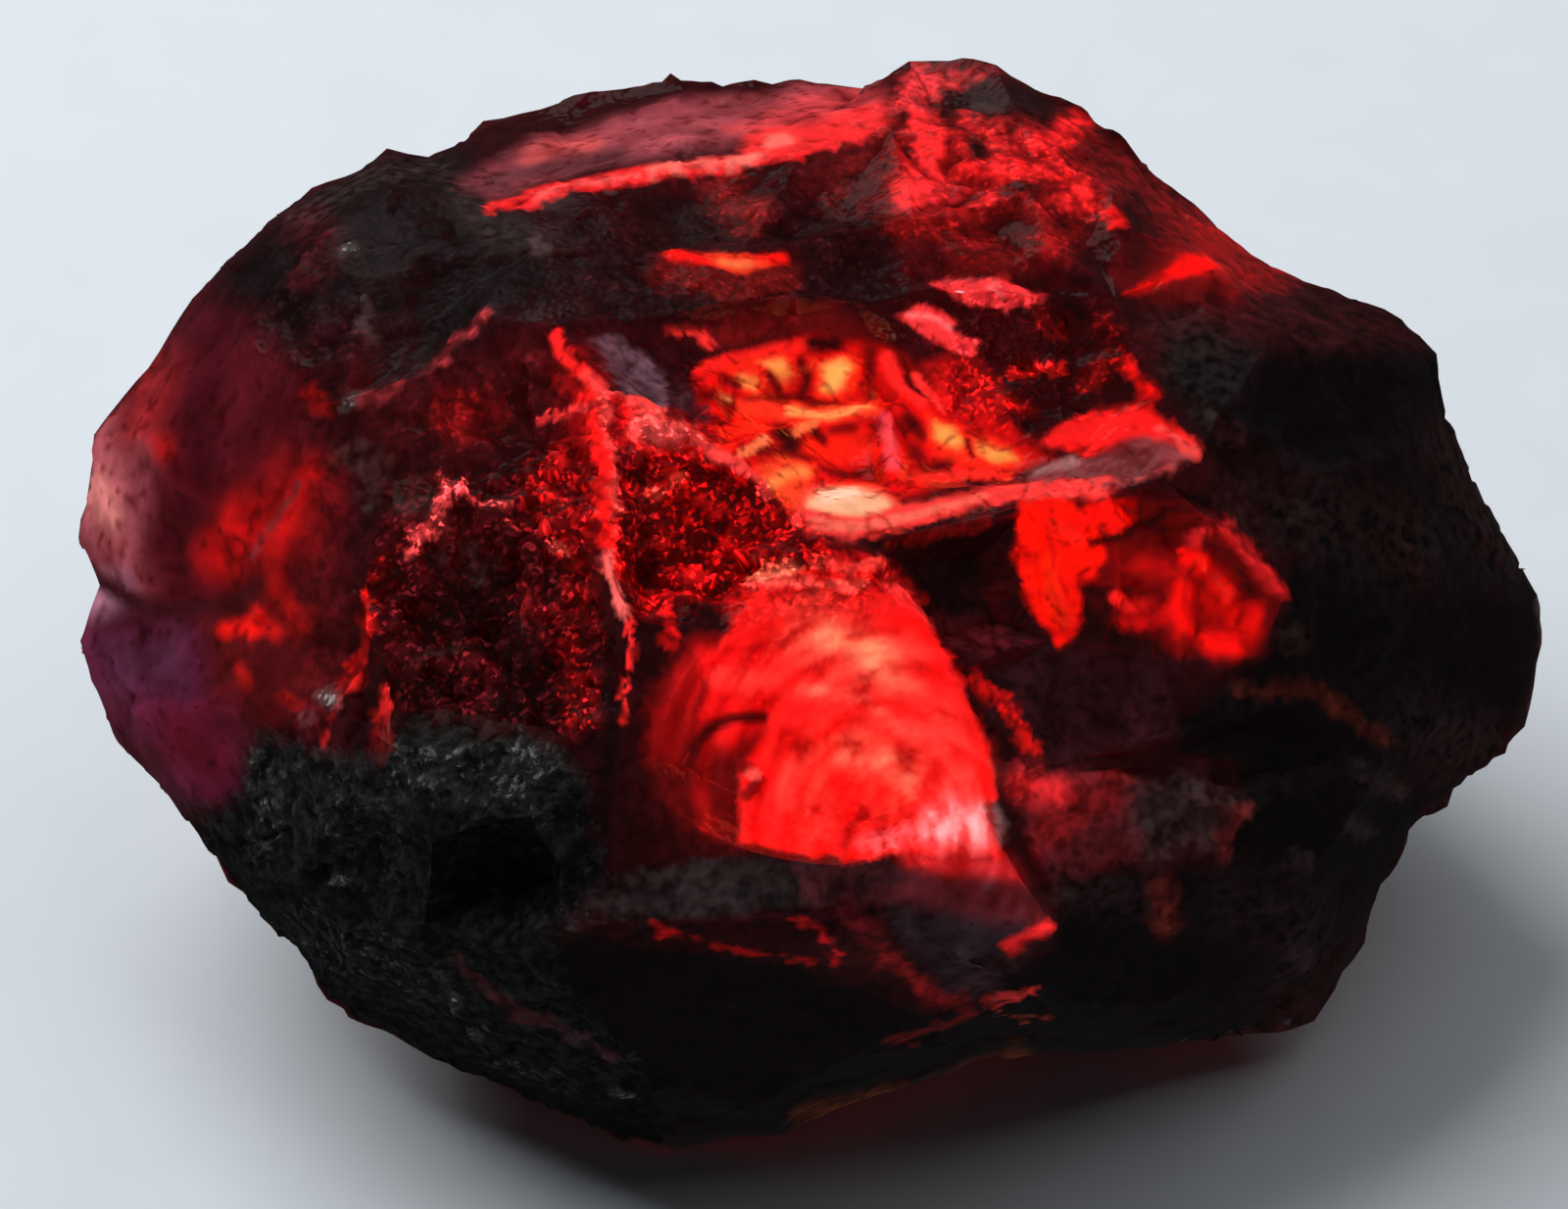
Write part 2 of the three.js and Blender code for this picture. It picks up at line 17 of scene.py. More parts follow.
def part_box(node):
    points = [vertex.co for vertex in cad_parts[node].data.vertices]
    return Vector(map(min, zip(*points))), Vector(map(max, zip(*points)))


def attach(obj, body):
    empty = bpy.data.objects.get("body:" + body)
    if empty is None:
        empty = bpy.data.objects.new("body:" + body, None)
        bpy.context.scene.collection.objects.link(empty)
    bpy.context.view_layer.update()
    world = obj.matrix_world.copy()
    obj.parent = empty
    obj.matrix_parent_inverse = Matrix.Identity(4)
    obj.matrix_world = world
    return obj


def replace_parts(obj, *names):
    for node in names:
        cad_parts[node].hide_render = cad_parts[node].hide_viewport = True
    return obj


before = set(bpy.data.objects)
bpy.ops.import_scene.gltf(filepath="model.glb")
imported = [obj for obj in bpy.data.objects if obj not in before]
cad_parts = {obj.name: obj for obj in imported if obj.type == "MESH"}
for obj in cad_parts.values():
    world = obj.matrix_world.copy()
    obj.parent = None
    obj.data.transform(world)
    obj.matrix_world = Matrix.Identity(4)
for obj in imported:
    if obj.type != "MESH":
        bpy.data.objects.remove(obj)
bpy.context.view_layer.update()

MM = 0.001

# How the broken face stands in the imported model.
FACE_LEAN = math.radians(45)
FACE_ORIGIN = np.array([-0.285, -0.4946, 4.4])

# The view: straight onto the face.
VIEW_DISTANCE = 120
VIEW_WIDTH = 16
SENSOR_WIDTH = 36

# Fineness of the broken surface.
COARSE_EDGE = 0.3
HEART_EDGE = 0.075
FACE_EDGE = 0.13
REAR_EDGE = 0.24
MOST_SPLITS = 7
HEART_MIDDLE = (0.1, 0.5)
HEART_REACH = (3.3, 3.4)
RIDGE_ANGLE = math.radians(24)
CREASE_ANGLE = math.radians(32)

# The shell break: where it was struck, and how far apart its rings are.
STRUCK_AT = (1.0, -2.3)
ARC_SPACING = 0.26

# Heights of the long and the short swells, and what the rear has more of each.
LONG_SWELL = 0.05
SHORT_SWELL = 0.022
REAR_LONG_SWELL = 0.12
REAR_SHORT_SWELL = 0.05

# Where the wander of the painted edges starts. Left alone, it would start from the clock and differ each run.
DRIFT_SEED = 1

# A splinter's width, and how much of a painted edge follows the splinters.
SHARD = 0.15
SHARD_HOLD = 0.55

# How rare the grains that sparkle with painted light are, as a power of chance, and how bright.
SPARKLE_RARITY = 7.0
SPARKLE_GAIN = 5.0

# Layered noises: the step in scale from octave to octave, and how fast they fade, as a power of that step.
OCTAVE_STEP = 2.0
OCTAVE_FADE = 0.6
SOFT_FADE = 0.7

# The relief that doubles the painted light, as painted highlight on crests and painted shade in clefts, and
# the way that facets with painted light face.
CREST = 0.05
PAINTED_LIGHT_FROM = np.array([-0.25, 0.65, 0.72])

# What the crystal is made of: how it bends light, and what it lets through.
REFRACTIVE_INDEX = 1.8
TRANSMISSION = 0.94
LIGHT_LET_THROUGH = (0.86, 0.02, 0.16, 1.0)
ABSORPTION_PER_METRE = 1400.0
BUMP_DEPTH = 0.03

# Roughness of its clean, sooty, splintered and dusty places.
CLEAN = 0.13
SOOTY = 0.4
SPLINTERED = 0.3
DUSTY = 0.7

# Colours of the glass, the dust on it, which in places stands in for a painted sheen, the rind and the table
# top.
DEEP_RED = (0.13, 0.009, 0.012, 1.0)
BLACK_GLASS = (0.003, 0.0025, 0.0025, 1.0)
GREY_DUST_AND_SHEEN = (0.3, 0.33, 0.28, 1.0)
WHITE_DUST_AND_SHEEN = (0.85, 0.86, 0.82, 1.0)
RIND_CLEFT = (0.0045, 0.004, 0.004, 1.0)
RIND_CREST = (0.026, 0.0235, 0.023, 1.0)
DULL_CHIP = (0.035, 0.035, 0.034, 1.0)
PALE_CHIP = (0.32, 0.32, 0.31, 1.0)
PAPER_SHADE = (0.74, 0.80, 0.86, 1.0)
PAPER_LIGHT = (0.78, 0.835, 0.89, 1.0)


def tone(red, green, blue):
    """A colour as the eye reads it, from 0 to 255, in the renderer's linear light."""
    parts = np.array([red, green, blue]) / 255
    return np.where(parts <= 0.04045, parts / 12.92, ((parts + 0.055) / 1.055) ** 2.4)


# ---------------------------------------------------------------- the face frame


def face_axes():
    """The face's right, up and outward directions, as rows."""
    c, s = math.cos(FACE_LEAN), math.sin(FACE_LEAN)
    return np.array([[1, 0, 0], [0, c, s], [0, -s, c]])


def onto_face(points):
    """Points of the model as (u, v, w)."""
    return (points - FACE_ORIGIN) @ face_axes().T


def off_face(points):
    """Places on the face as points of the model."""
    return points @ face_axes() + FACE_ORIGIN


# ---------------------------------------------------------------- the broken surface


def as_arrays(bm):
    """The points and normals of a mesh, one row each."""
    bm.verts.ensure_lookup_table()
    bm.verts.index_update()
    points = np.array([v.co for v in bm.verts])
    normals = np.array([v.normal for v in bm.verts])
    return points, normals


def divide(bm, longest):
    """Splits the edges longer than the limit at their middle, over and over."""
    for _ in range(MOST_SPLITS):
        long_edges = [e for e in bm.edges if e.calc_length() > longest(e)]
        if not long_edges:
            return
        bmesh.ops.subdivide_edges(bm, edges=long_edges, cuts=1)
        quads = [f for f in bm.faces if len(f.verts) > 3]
        bmesh.ops.triangulate(bm, faces=quads, quad_method="SHORT_EDGE")


def relax(bm, rounds):
    """Lets the faces between two ridges bow and the ridges run in curves, with their corners held."""
    for _ in range(rounds):
        ridges = {e for e in bm.edges if e.calc_face_angle(0) > RIDGE_ANGLE}
        moved = {}
        for v in bm.verts:
            along = [e.other_vert(v).co for e in v.link_edges if e in ridges]
            if len(along) == 2:
                moved[v] = v.co.lerp((along[0] + along[1]) / 2, 0.3)
            elif not along:
                around = [e.other_vert(v).co for e in v.link_edges]
                moved[v] = v.co.lerp(sum(around, Vector()) / len(around), 0.5)
        for v, place in moved.items():
            v.co = place
        bm.normal_update()


def hackle(place, size, slope):
    """Height of a splintered break, where every grain is a small facet with a tilt of its own, and its chance
    of sparkling with painted light, from 0 to 1."""
    near = noise.voronoi(place / size)[1][0]
    chance = noise.cell_vector(near * 17.3)
    tilt = chance - Vector((0.5, 0.5, 0.5))
    return (place / size - near).dot(tilt) * 2 * slope * size, chance.x


def arcs(place):
    """Height of the rings of the shell break. They spread from the struck point, and fade in and out."""
    away = math.hypot(place.x - STRUCK_AT[0], (place.y - STRUCK_AT[1]) * 0.8)
    wander = noise.noise(place * 0.9) * 1.3
    phase = (away / ARC_SPACING + wander) % 1
    return (phase - 0.5) * ARC_SPACING * 0.2 * max(0, 0.35 + noise.noise(place * 1.3 + Vector((5, 1, 0))))


def roughen(face_points, normals, brush):
    """Moves every point along its normal: long swells everywhere, then what each area's break has. Puts down
    how much each splintered grain sparkles with painted light."""
    swell = np.zeros(len(face_points))
    for i, point in enumerate(face_points):
        q = Vector(point)
        away = 1 - brush.front[i]
        height = noise.noise(q * 0.8) * (LONG_SWELL + REAR_LONG_SWELL * away)
        height += noise.noise(q * 2.1) * (SHORT_SWELL + REAR_SHORT_SWELL * away)
        rough = brush.grain[i]
        if rough > 0.02:
            wide, _ = hackle(q, size=0.42, slope=0.30)
            small, chance = hackle(q, size=0.13, slope=0.4)
            height += rough * (wide + small)
            brush.spark[i] = chance ** 3
        if rough < 0.98:
            height += (1 - rough) * (hackle(q, size=0.9, slope=0.045)[0] + noise.noise(q * 6) * 0.004)
        if brush.arcs[i] > 0.02:
            height += brush.arcs[i] * arcs(q)
        if brush.crust[i] > 0.02:
            crumbs = noise.fractal(q * 3.1, OCTAVE_FADE, OCTAVE_STEP, 4) * 0.03
            height += brush.crust[i] * (crumbs + hackle(q, size=0.3, slope=0.13)[0])
        swell[i] = height
    return face_points + normals * swell[:, None]


# ---------------------------------------------------------------- painting the layers


# Areas whose break is smooth, so that their colours run softly: the right facet's streak, the ember, the
# basin with its ledge, the windows, the lip, the clear lobes and the shell break.
SMOOTH_AREAS = (
    "3.3,3.0 4.6,3.2 4.7,3.8 4.0,3.7 3.3,3.35",
    "-1.3,3.7 -0.8,3.7 0.1,3.55 0.1,3.3 -0.7,3.25 -1.3,3.4",
    "-0.9,2.6 0.2,2.85 1.2,3.4 2.7,3.2 2.2,2.4 2.7,1.9 3.7,2.1 4.3,1.5 3.9,1.25 2.7,1.05 0.2,0.6 -0.4,1.3",
    "2.3,1.1 3.2,1.1 5.1,0.2 4.8,-0.6 2.6,-0.5",
    "-3.2,4.0 -1.8,4.3 -0.2,4.5 1.2,4.85 1.0,5.8 -1,5.6 -3.4,4.7",
    "-7.6,2.6 -5.4,3.2 -4.7,1.4 -4.9,-1.2 -6,-2.4 -7.6,-1",
    "-0.9,-0.3 0.9,0.1 1.5,-0.3 2.2,-1.6 2.7,-3.3 1.4,-3.7 0.9,-2.6 -0.6,-2.5 -1.5,-1.6",
)


def drift(place):
    """How far a painted edge wanders from where it was drawn."""
    return noise.noise_vector(place * 1.7) * 0.05 + noise.noise_vector(place * 5.3) * 0.025


def ring_tone(place):
    """How the painted light runs in streaks round the point that was struck, about 0, brighter above it."""
    across, along = place.x - STRUCK_AT[0], (place.y - STRUCK_AT[1]) * 0.85
    ring = Vector((math.hypot(across, along) / 0.17, math.atan2(along, across) * 2.2, 3.0))
    return noise.fractal(ring, SOFT_FADE, OCTAVE_STEP, 4)


def shard_middle(place):
    """The middle of the shard that a place lies in, so that a shard takes one colour."""
    return noise.voronoi(place / SHARD)[1][0] * SHARD


class Brush:
    """Paints layers on the stone's points from strokes and patches drawn on the face."""

    def __init__(self, face_points, face_normals):
        self.points = face_points
        self.front = smooth(face_normals[:, 2], -0.12, 0.08)
        self.places = face_points[:, :2] + np.array([drift(Vector(p)) for p in face_points])[:, :2]
        self.calm = np.zeros(len(face_points))
        for outline in SMOOTH_AREAS:
            self.calm = np.maximum(self.calm, self.patch_cover(points_of(outline), 0.2))
        middles = np.array([shard_middle(Vector(p)) for p in face_points])[:, :2]
        self.places += (middles - face_points[:, :2]) * (SHARD_HOLD * (1 - self.calm))[:, None]
        count = len(face_points)
        # Painted light: emission that stands in for the light shining through the stone from behind, bright
        # or dark, with painted highlights and sheen among it.
        self.painted_light = np.zeros((count, 3))
        self.soot = np.zeros(count)
        self.grain = np.zeros(count)
        self.arcs = np.zeros(count)
        self.crust = np.zeros(count)
        # Grey and pale dust, which in places stands in for a painted sheen and in a few for painted glints.
        self.dust_and_sheen = np.zeros(count)
        self.spark = np.zeros(count)

    def distance(self, path, closed=False):
        """How far each point is from a path drawn on the face."""
        ends = list(zip(path, path[1:] + path[:1] if closed else path[1:])) or [(path[0], path[0])]
        nearest = np.full(len(self.places), 1e9)
        for start, end in ends:
            a, b = np.array(start, float), np.array(end, float)
            along = b - a
            length = along @ along
            share = np.zeros(len(self.places))
            if length:
                share = np.clip((self.places - a) @ along / length, 0, 1)
            gap = np.linalg.norm(self.places - a - share[:, None] * along, axis=1)
            nearest = np.minimum(nearest, gap)
        return nearest

    def inside(self, outline):
        """Which points lie within an outline, by counting how often a ray crosses it."""
        within = np.zeros(len(self.places), bool)
        x, y = self.places.T
        for (x0, y0), (x1, y1) in zip(outline, outline[1:] + outline[:1]):
            if y0 != y1:
                crosses = (y0 > y) != (y1 > y)
                within ^= crosses & (x < (x1 - x0) * (y - y0) / (y1 - y0) + x0)
        return within

    def stroke_cover(self, path, width, soft):
        half = width / 2
        return (1 - smooth(self.distance(path), half * (1 - soft), half * (1 + soft))) * self.front

    def patch_cover(self, outline, soft):
        gap = self.distance(outline, closed=True)
        signed = np.where(self.inside(outline), -gap, gap)
        return (1 - smooth(signed, -soft, soft)) * self.front

    def lay(self, layer, value, cover):
        """Blends a value into one layer."""
        held = getattr(self, layer)
        if layer == "painted_light":
            self.painted_light = held + (np.asarray(value) - held) * cover[:, None]
        else:
            setattr(self, layer, held + (value - held) * cover)

    def stroke(self, layer, value, width, path, soft):
        self.lay(layer, value, self.stroke_cover(points_of(path), width, soft))

    def patch(self, layer, value, outline, soft):
        self.lay(layer, value, self.patch_cover(points_of(outline), soft))

    def painted_light_stroke(self, red, green, blue, width, path, soft):
        """A stroke of painted light, bright or dark."""
        self.stroke("painted_light", tone(red, green, blue), width, path, soft)

    def pool(self, red, green, blue, outline, soft):
        """A patch of painted light, bright or dark."""
        self.patch("painted_light", tone(red, green, blue), outline, soft)


def dim(painted_light, share):
    """Scales the painted light. What is dimmed also turns redder, as light does deep in red glass."""
    painted_light *= share[:, None]
    painted_light[:, 1:] *= np.sqrt(np.minimum(share, 1))[:, None]


def smooth(values, low, high):
    """Rises softly from 0 at the low value to 1 at the high one."""
    share = np.clip((values - low) / (high - low), 0, 1)
    return share * share * (3 - 2 * share)


def points_of(text):
    """Reads "u,v u,v ..." as a list of points."""
    return [tuple(float(n) for n in pair.split(",")) for pair in text.split()]


def paint_ground(b):
    """The whole face before anything is picked out: deep wine glass in faint painted light, blackened at the
    right, below and on the knob, where the painted light is nearly off."""
    b.lay("painted_light", tone(26, 4, 6), b.front)
    black_end = ("3.9,3.0 4.6,2.9 5.4,3.1 6.6,3.3 8.4,0 7.8,-2.2 6,-4.8 3,-5.6 -1,-6.2 -4,-5.7 -3.4,-4.2 "
                 "-2.2,-3.25 0,-3.55 1.5,-4.1 2.7,-3.4 2.8,-2.75 4.4,-2.6 4.6,-1.6 3.6,-1.4 4.85,-0.5 "
                 "5.05,0.5 4.4,1.4 3.8,2.2")
    b.patch("soot", 1.35, black_end, 0.16)
    b.pool(6, 4, 5, black_end, 0.14)
    knob = "-6.1,3.1 -5,4.2 -3.6,4.9 -2.7,4.1 -2.2,3.1 -2.9,2.8 -3.6,2.4 -4.6,2.5 -5.3,2.7"
    b.patch("soot", 0.97, knob, 0.25)
    b.pool(17, 8, 10, knob, 0.2)


def paint_left_lobes(b):
    """Two clear rounded lobes in painted light, red above the valley and purple below it, the purple
    a painted sheen.
    """
    b.pool(66, 14, 22, "-6.9,2.2 -6,3.2 -5.3,2.9 -4.9,2 -4.4,1 -4.6,-1.4 -6.1,-0.2 -7.3,0.2", 0.3)
    # Pale pink painted highlights on the upper lobe.
    b.pool(142, 70, 76, "-7.3,1.6 -6.9,2.2 -6.5,1.6 -6.45,0.6 -6.5,0.15 -7.0,0.4 -7.3,0.9", 0.3)
    b.painted_light_stroke(170, 98, 96, 0.3, "-7.05,1.2 -6.9,0.9", 1.0)
    b.painted_light_stroke(58, 10, 20, 0.6, "-5.9,2.7 -6,2 -5.9,1.4 -6.2,0.7", 0.9)
    b.pool(110, 10, 14, "-5.9,0.6 -5.6,1.1 -5.1,1.5 -4.5,1.4 -4.6,0.6 -5.1,0.1 -5.8,0.2", 0.35)
    b.painted_light_stroke(168, 13, 14, 0.42, "-5.72,0.5 -5.4,0.85", 1.0)
    b.painted_light_stroke(176, 18, 18, 0.22, "-4.75,1.3 -4.95,0.95 -5.15,0.6", 1.0)
    b.painted_light_stroke(140, 22, 22, 0.22, "-6.35,1.65 -6.3,1.55", 0.9)
    b.painted_light_stroke(140, 18, 14, 0.16, "-4.75,2.1 -4.65,2.0", 0.9)
    b.painted_light_stroke(120, 30, 36, 0.5, "-6.4,2.4 -6.6,1.9", 1.0)
    b.painted_light_stroke(120, 44, 48, 0.06, "-4.85,1.2 -5.1,0.85 -5.4,0.45", 0.8)
    b.pool(74, 25, 44, "-7.3,-0.1 -6.3,-0.1 -5.6,-0.4 -5.4,-1.2 -5.5,-1.9 -6.2,-2 -7,-1.2 -7.4,-0.5", 0.25)
    b.pool(78, 17, 35, "-6.4,-0.9 -5.7,-0.9 -5.4,-1.6 -5.7,-1.9 -6.3,-1.6", 0.3)
    b.pool(66, 31, 51, "-7.1,-0.4 -6.1,-0.3 -6.0,-0.9 -6.9,-0.9", 0.3)
    b.painted_light_stroke(130, 84, 102, 0.4, "-7.05,0.1 -6.8,0.15", 0.9)
    # A darker line of painted light in the valley between the lobes: painted shade.
    b.painted_light_stroke(44, 14, 20, 0.16, "-7.1,0.35 -6.7,0.05 -6.3,-0.05 -5.7,-0.05 -5.2,0.2", 0.8)
    b.pool(70, 12, 15, "-5.9,-0.2 -5.0,0.3 -4.4,0.4 -4.5,-0.9 -5.2,-1.4 -5.8,-0.9", 0.25)
    b.painted_light_stroke(200, 20, 16, 0.15, "-5.62,-0.25 -5.3,-0.22", 0.8)
    b.painted_light_stroke(170, 20, 18, 0.14, "-5.3,-0.1 -5.1,-0.3", 0.8)
    b.painted_light_stroke(140, 14, 13, 0.24, "-5.1,0.6 -5.1,0.2 -4.9,-0.2", 1.0)
    b.painted_light_stroke(150, 20, 20, 0.1, "-5.5,-0.6 -5.4,-0.8", 0.7)
    b.painted_light_stroke(130, 18, 18, 0.1, "-5.05,-0.9 -4.85,-1.0", 0.7)


def paint_knob(b):
    """The blackened knob at the upper left, with grey dust on its top that stands in for a sheen, and a pink
    line of painted light under it.
    """
    b.patch("grain", 0.3, "-5.7,3.2 -4.6,4.2 -3.4,4.3 -2.6,3.7 -2.4,3.0 -3.2,2.6 -4.4,2.2 -5.4,2.6", 0.4)
    # Grey dust on the knob's top that stands in for a sheen.
    b.patch("dust_and_sheen", 0.3, "-5.1,4.0 -4.4,4.5 -3.6,4.6 -3.4,4.4 -4.2,4.3 -4.9,3.9", 0.2)
    b.stroke("dust_and_sheen", 0.25, 0.3, "-3.3,4.2 -2.9,3.8 -2.7,3.7", 0.9)
    b.stroke("dust_and_sheen", 1.0, 0.12, "-4.45,3.63 -4.38,3.6", 0.5)
    b.stroke("dust_and_sheen", 0.8, 0.12, "-4.2,3.02 -4.17,2.95", 0.5)
    b.stroke("dust_and_sheen", 0.6, 0.12, "-4.2,2.8 -4.12,2.7", 0.7)
    b.stroke("dust_and_sheen", 0.9, 0.12, "-2.52,3.66 -2.47,3.6", 0.7)
    b.painted_light_stroke(128, 42, 46, 0.09, "-4.3,2.04 -3.9,2.15 -3.5,2.4 -3.25,2.7 -2.95,2.9", 0.6)
    # A pale speck that stands in for a glint.
    b.stroke("dust_and_sheen", 1.4, 0.13, "-4.45,2.01 -4.33,2.06", 0.4)
    b.painted_light_stroke(48, 11, 14, 0.4, "-4.9,3.9 -4.7,3.6 -4.8,3.4", 0.9)
    b.painted_light_stroke(32, 8, 11, 0.5, "-4.6,2.7 -4.2,2.5 -3.8,2.5", 1.0)


def paint_lip(b):
    """The raised lip along the top, bright with painted light and painted highlights along its edge, and the
    dusky face above it in painted light.
    """
    b.pool(138, 62, 68,
           "-3.3,4.35 -2.5,4.8 -1.5,5.1 -0.4,5.3 0.8,5.5 1.0,5.1 -0.6,4.7 -2.0,4.5 -2.9,4.2", 0.14)
    b.pool(176, 56, 60, "-0.6,4.9 0.3,5.25 1.0,5.35 1.3,5.0 0.2,4.8", 0.18)
    b.painted_light_stroke(178, 76, 76, 0.2, "-2.6,4.6 -2.3,4.72 -2.0,4.75", 0.9)
    b.painted_light_stroke(92, 46, 50, 0.2, "-3.0,4.35 -2.4,4.5 -1.7,4.62", 0.8)
    # The bright edge of the lip, with painted highlights along it.
    b.painted_light_stroke(246, 48, 50, 0.15, "-2.95,4.06 -2.2,4.22 -1.45,4.4 -0.7,4.5 0.14,4.62 0.7,4.82 1.2,5.0", 0.4)
    b.painted_light_stroke(248, 58, 60, 0.24, "-0.3,4.7 0.3,4.82 0.9,5.0 1.2,5.12", 0.8)
    b.painted_light_stroke(255, 96, 92, 0.06, "-2.5,4.17 -1.8,4.34 -1.0,4.48 -0.2,4.58", 0.6)
    b.painted_light_stroke(255, 120, 110, 0.1, "-1.35,4.44 -1.05,4.48", 0.5)
    b.painted_light_stroke(255, 120, 110, 0.1, "-0.9,4.5 -0.7,4.52", 0.5)
    b.painted_light_stroke(255, 130, 118, 0.11, "-0.55,4.54 -0.3,4.57", 0.5)
    b.painted_light_stroke(255, 120, 110, 0.13, "-0.15,4.72 0.05,4.75", 0.5)


def paint_brow(b):
    """The dark brow under the lip, with one ember of painted light in it."""
    b.pool(28, 6, 8,
           "-2.4,3.9 -1.7,4.3 -0.6,4.45 0.4,4.55 0.9,4.1 1.3,3.6 1.2,3.1 0,3.0 -1.5,2.9 -2.2,3.1", 0.2)
    b.patch("soot", 0.9, "-2.4,4.0 -1.4,4.25 -0.2,4.3 1.1,3.7 1.2,3.0 0.2,2.9 -1.4,2.8 -2.3,3.1", 0.2)
    b.patch("grain", 0.35, "-2.4,3.9 -1.7,4.3 0.6,4.45 1.3,3.6 1.2,3.1 0,3.0 -1.5,2.9 -2.3,3.2", 0.3)
    b.painted_light_stroke(112, 26, 28, 0.4, "-0.6,4.2 -0.4,4.0", 1.0)
    b.painted_light_stroke(86, 18, 20, 0.5, "0.5,4.3 0.8,4.5 1.0,4.2", 1.0)
    ember = "-1.3,3.64 -0.8,3.62 0.1,3.58 0.15,3.36 -0.5,3.26 -1.3,3.42"
    b.patch("grain", 0.0, ember, 0.06)
    b.patch("soot", 0.0, ember, 0.06)
    b.painted_light_stroke(226, 20, 12, 0.13, "-1.15,3.53 -0.8,3.48 -0.05,3.46", 0.7)
    b.pool(255, 70, 38, "-0.8,3.54 -0.6,3.58 -0.4,3.55 -0.2,3.46 -0.18,3.38 -0.4,3.33 -0.65,3.38", 0.04)
    b.painted_light_stroke(255, 124, 74, 0.09, "-0.6,3.47 -0.36,3.44", 0.7)
    b.painted_light_stroke(98, 18, 18, 0.28, "-1.2,3.35 -0.6,3.2 0.0,3.25", 1.0)


def paint_shoulder(b):
    """The rugged upper right shoulder: pink streaks of painted light over dark splintered glass."""
    b.pool(50, 7, 9, "1.1,5.5 2.3,5.5 3.1,5.0 3.9,4.4 3.4,4.0 3.0,3.4 2.6,3.0 1.2,3.3 1.0,4.2", 0.15)
    b.patch("grain", 0.3, "1.1,5.3 2.3,5.2 3.2,4.6 3.3,3.9 3.3,3.2 2.6,3.1 1.2,3.4 0.9,4.3", 0.25)
    b.pool(128, 16, 18, "1.1,4.9 1.7,5.0 2.7,4.85 3.3,4.3 2.9,3.9 2.2,4.05 1.2,3.8", 0.25)
    b.pool(186, 50, 54, "1.0,5.1 1.4,5.6 2.2,5.5 2.0,5.3 1.5,5.1", 0.1)
    upright = "1.3,5.1 1.55,5.05 1.75,4.65 1.6,4.35 1.7,4.2 1.35,3.95 1.12,4.0 1.3,4.4 1.38,4.75"
    b.patch("grain", 0.0, upright, 0.1)
    b.pool(255, 52, 54, upright, 0.1)
    b.pool(214, 46, 50, "1.2,4.15 1.6,4.05 2.1,4.12 2.2,4.3 1.8,4.38 1.4,4.35", 0.1)
    b.pool(230, 38, 40, "1.75,4.42 2.2,4.62 2.6,4.55 2.75,4.38 2.3,4.34", 0.08)
    b.pool(222, 44, 46, "1.85,5.0 2.15,4.98 2.3,4.75 2.28,4.52 2.1,4.6 2.05,4.8", 0.08)
    b.pool(200, 34, 36, "2.4,4.82 2.7,4.8 2.85,4.5 2.65,4.48 2.55,4.65", 0.08)
    b.pool(246, 46, 46, "2.85,4.45 3.1,4.38 3.25,4.12 3.1,3.95 2.75,3.96 2.7,4.1 3.0,4.14", 0.07)
    b.painted_light_stroke(240, 28, 28, 0.16, "3.33,3.98 3.42,3.96", 0.8)
    b.painted_light_stroke(220, 34, 36, 0.26, "2.9,4.86 3.0,4.9", 0.8)
    b.painted_light_stroke(112, 14, 16, 0.3, "2.7,3.6 2.8,3.8 2.75,3.95", 1.0)
    b.painted_light_stroke(104, 12, 13, 0.36, "1.3,3.9 1.7,3.85 2.1,3.7", 1.0)
    b.painted_light_stroke(90, 11, 12, 0.3, "1.9,3.5 2.3,3.55", 1.0)
    b.painted_light_stroke(24, 6, 7, 0.18, "1.95,4.76 2.0,4.62", 0.9)
    b.painted_light_stroke(24, 6, 7, 0.2, "2.35,4.25 2.6,4.2", 0.9)
    b.painted_light_stroke(18, 8, 9, 0.3, "1.7,5.2 2.1,5.3 2.6,5.2", 0.8)
    b.stroke("dust_and_sheen", 0.5, 0.2, "1.95,5.12 2.15,5.15", 0.9)
    b.stroke("dust_and_sheen", 1.0, 0.07, "3.33,4.22 3.4,4.23", 0.5)
    b.pool(98, 14, 17, "3.0,4.9 3.6,4.6 4.1,4.2 3.9,4.1 3.3,4.2", 0.15)


def paint_right_facet(b):
    """The translucent dark red facet at the upper right in painted light, with one bright streak across it.
    """
    b.pool(104, 14, 16, "3.9,4.3 4.4,4.1 5.0,3.6 5.3,3.3 4.6,3.0 3.9,3.0 3.4,3.3 3.5,3.9", 0.18)
    b.painted_light_stroke(136, 20, 20, 0.5, "4.3,3.7 4.9,3.5", 1.0)
    b.painted_light_stroke(40, 6, 8, 0.35, "3.6,3.9 3.6,3.5", 0.9)
    b.pool(244, 18, 12, "3.45,3.14 3.75,3.32 4.1,3.54 4.32,3.56 4.42,3.44 4.25,3.36 3.9,3.3 3.6,3.18", 0.05)
    b.pool(44, 12, 14, "3.6,3.1 4.6,3.1 5.2,3.2 6.2,3.0 6.5,2.7 5.0,2.6 4.2,2.8 3.6,2.6", 0.25)
    # Grey dust below the facet that stands in for a dull sheen.
    b.patch("dust_and_sheen", 0.12, "3.7,2.9 4.3,2.9 4.8,2.5 4.6,2.1 4.1,1.9 3.8,2.3", 0.2)
    b.stroke("dust_and_sheen", 0.45, 0.18, "4.2,1.95 4.4,1.75 4.55,1.65", 0.8)


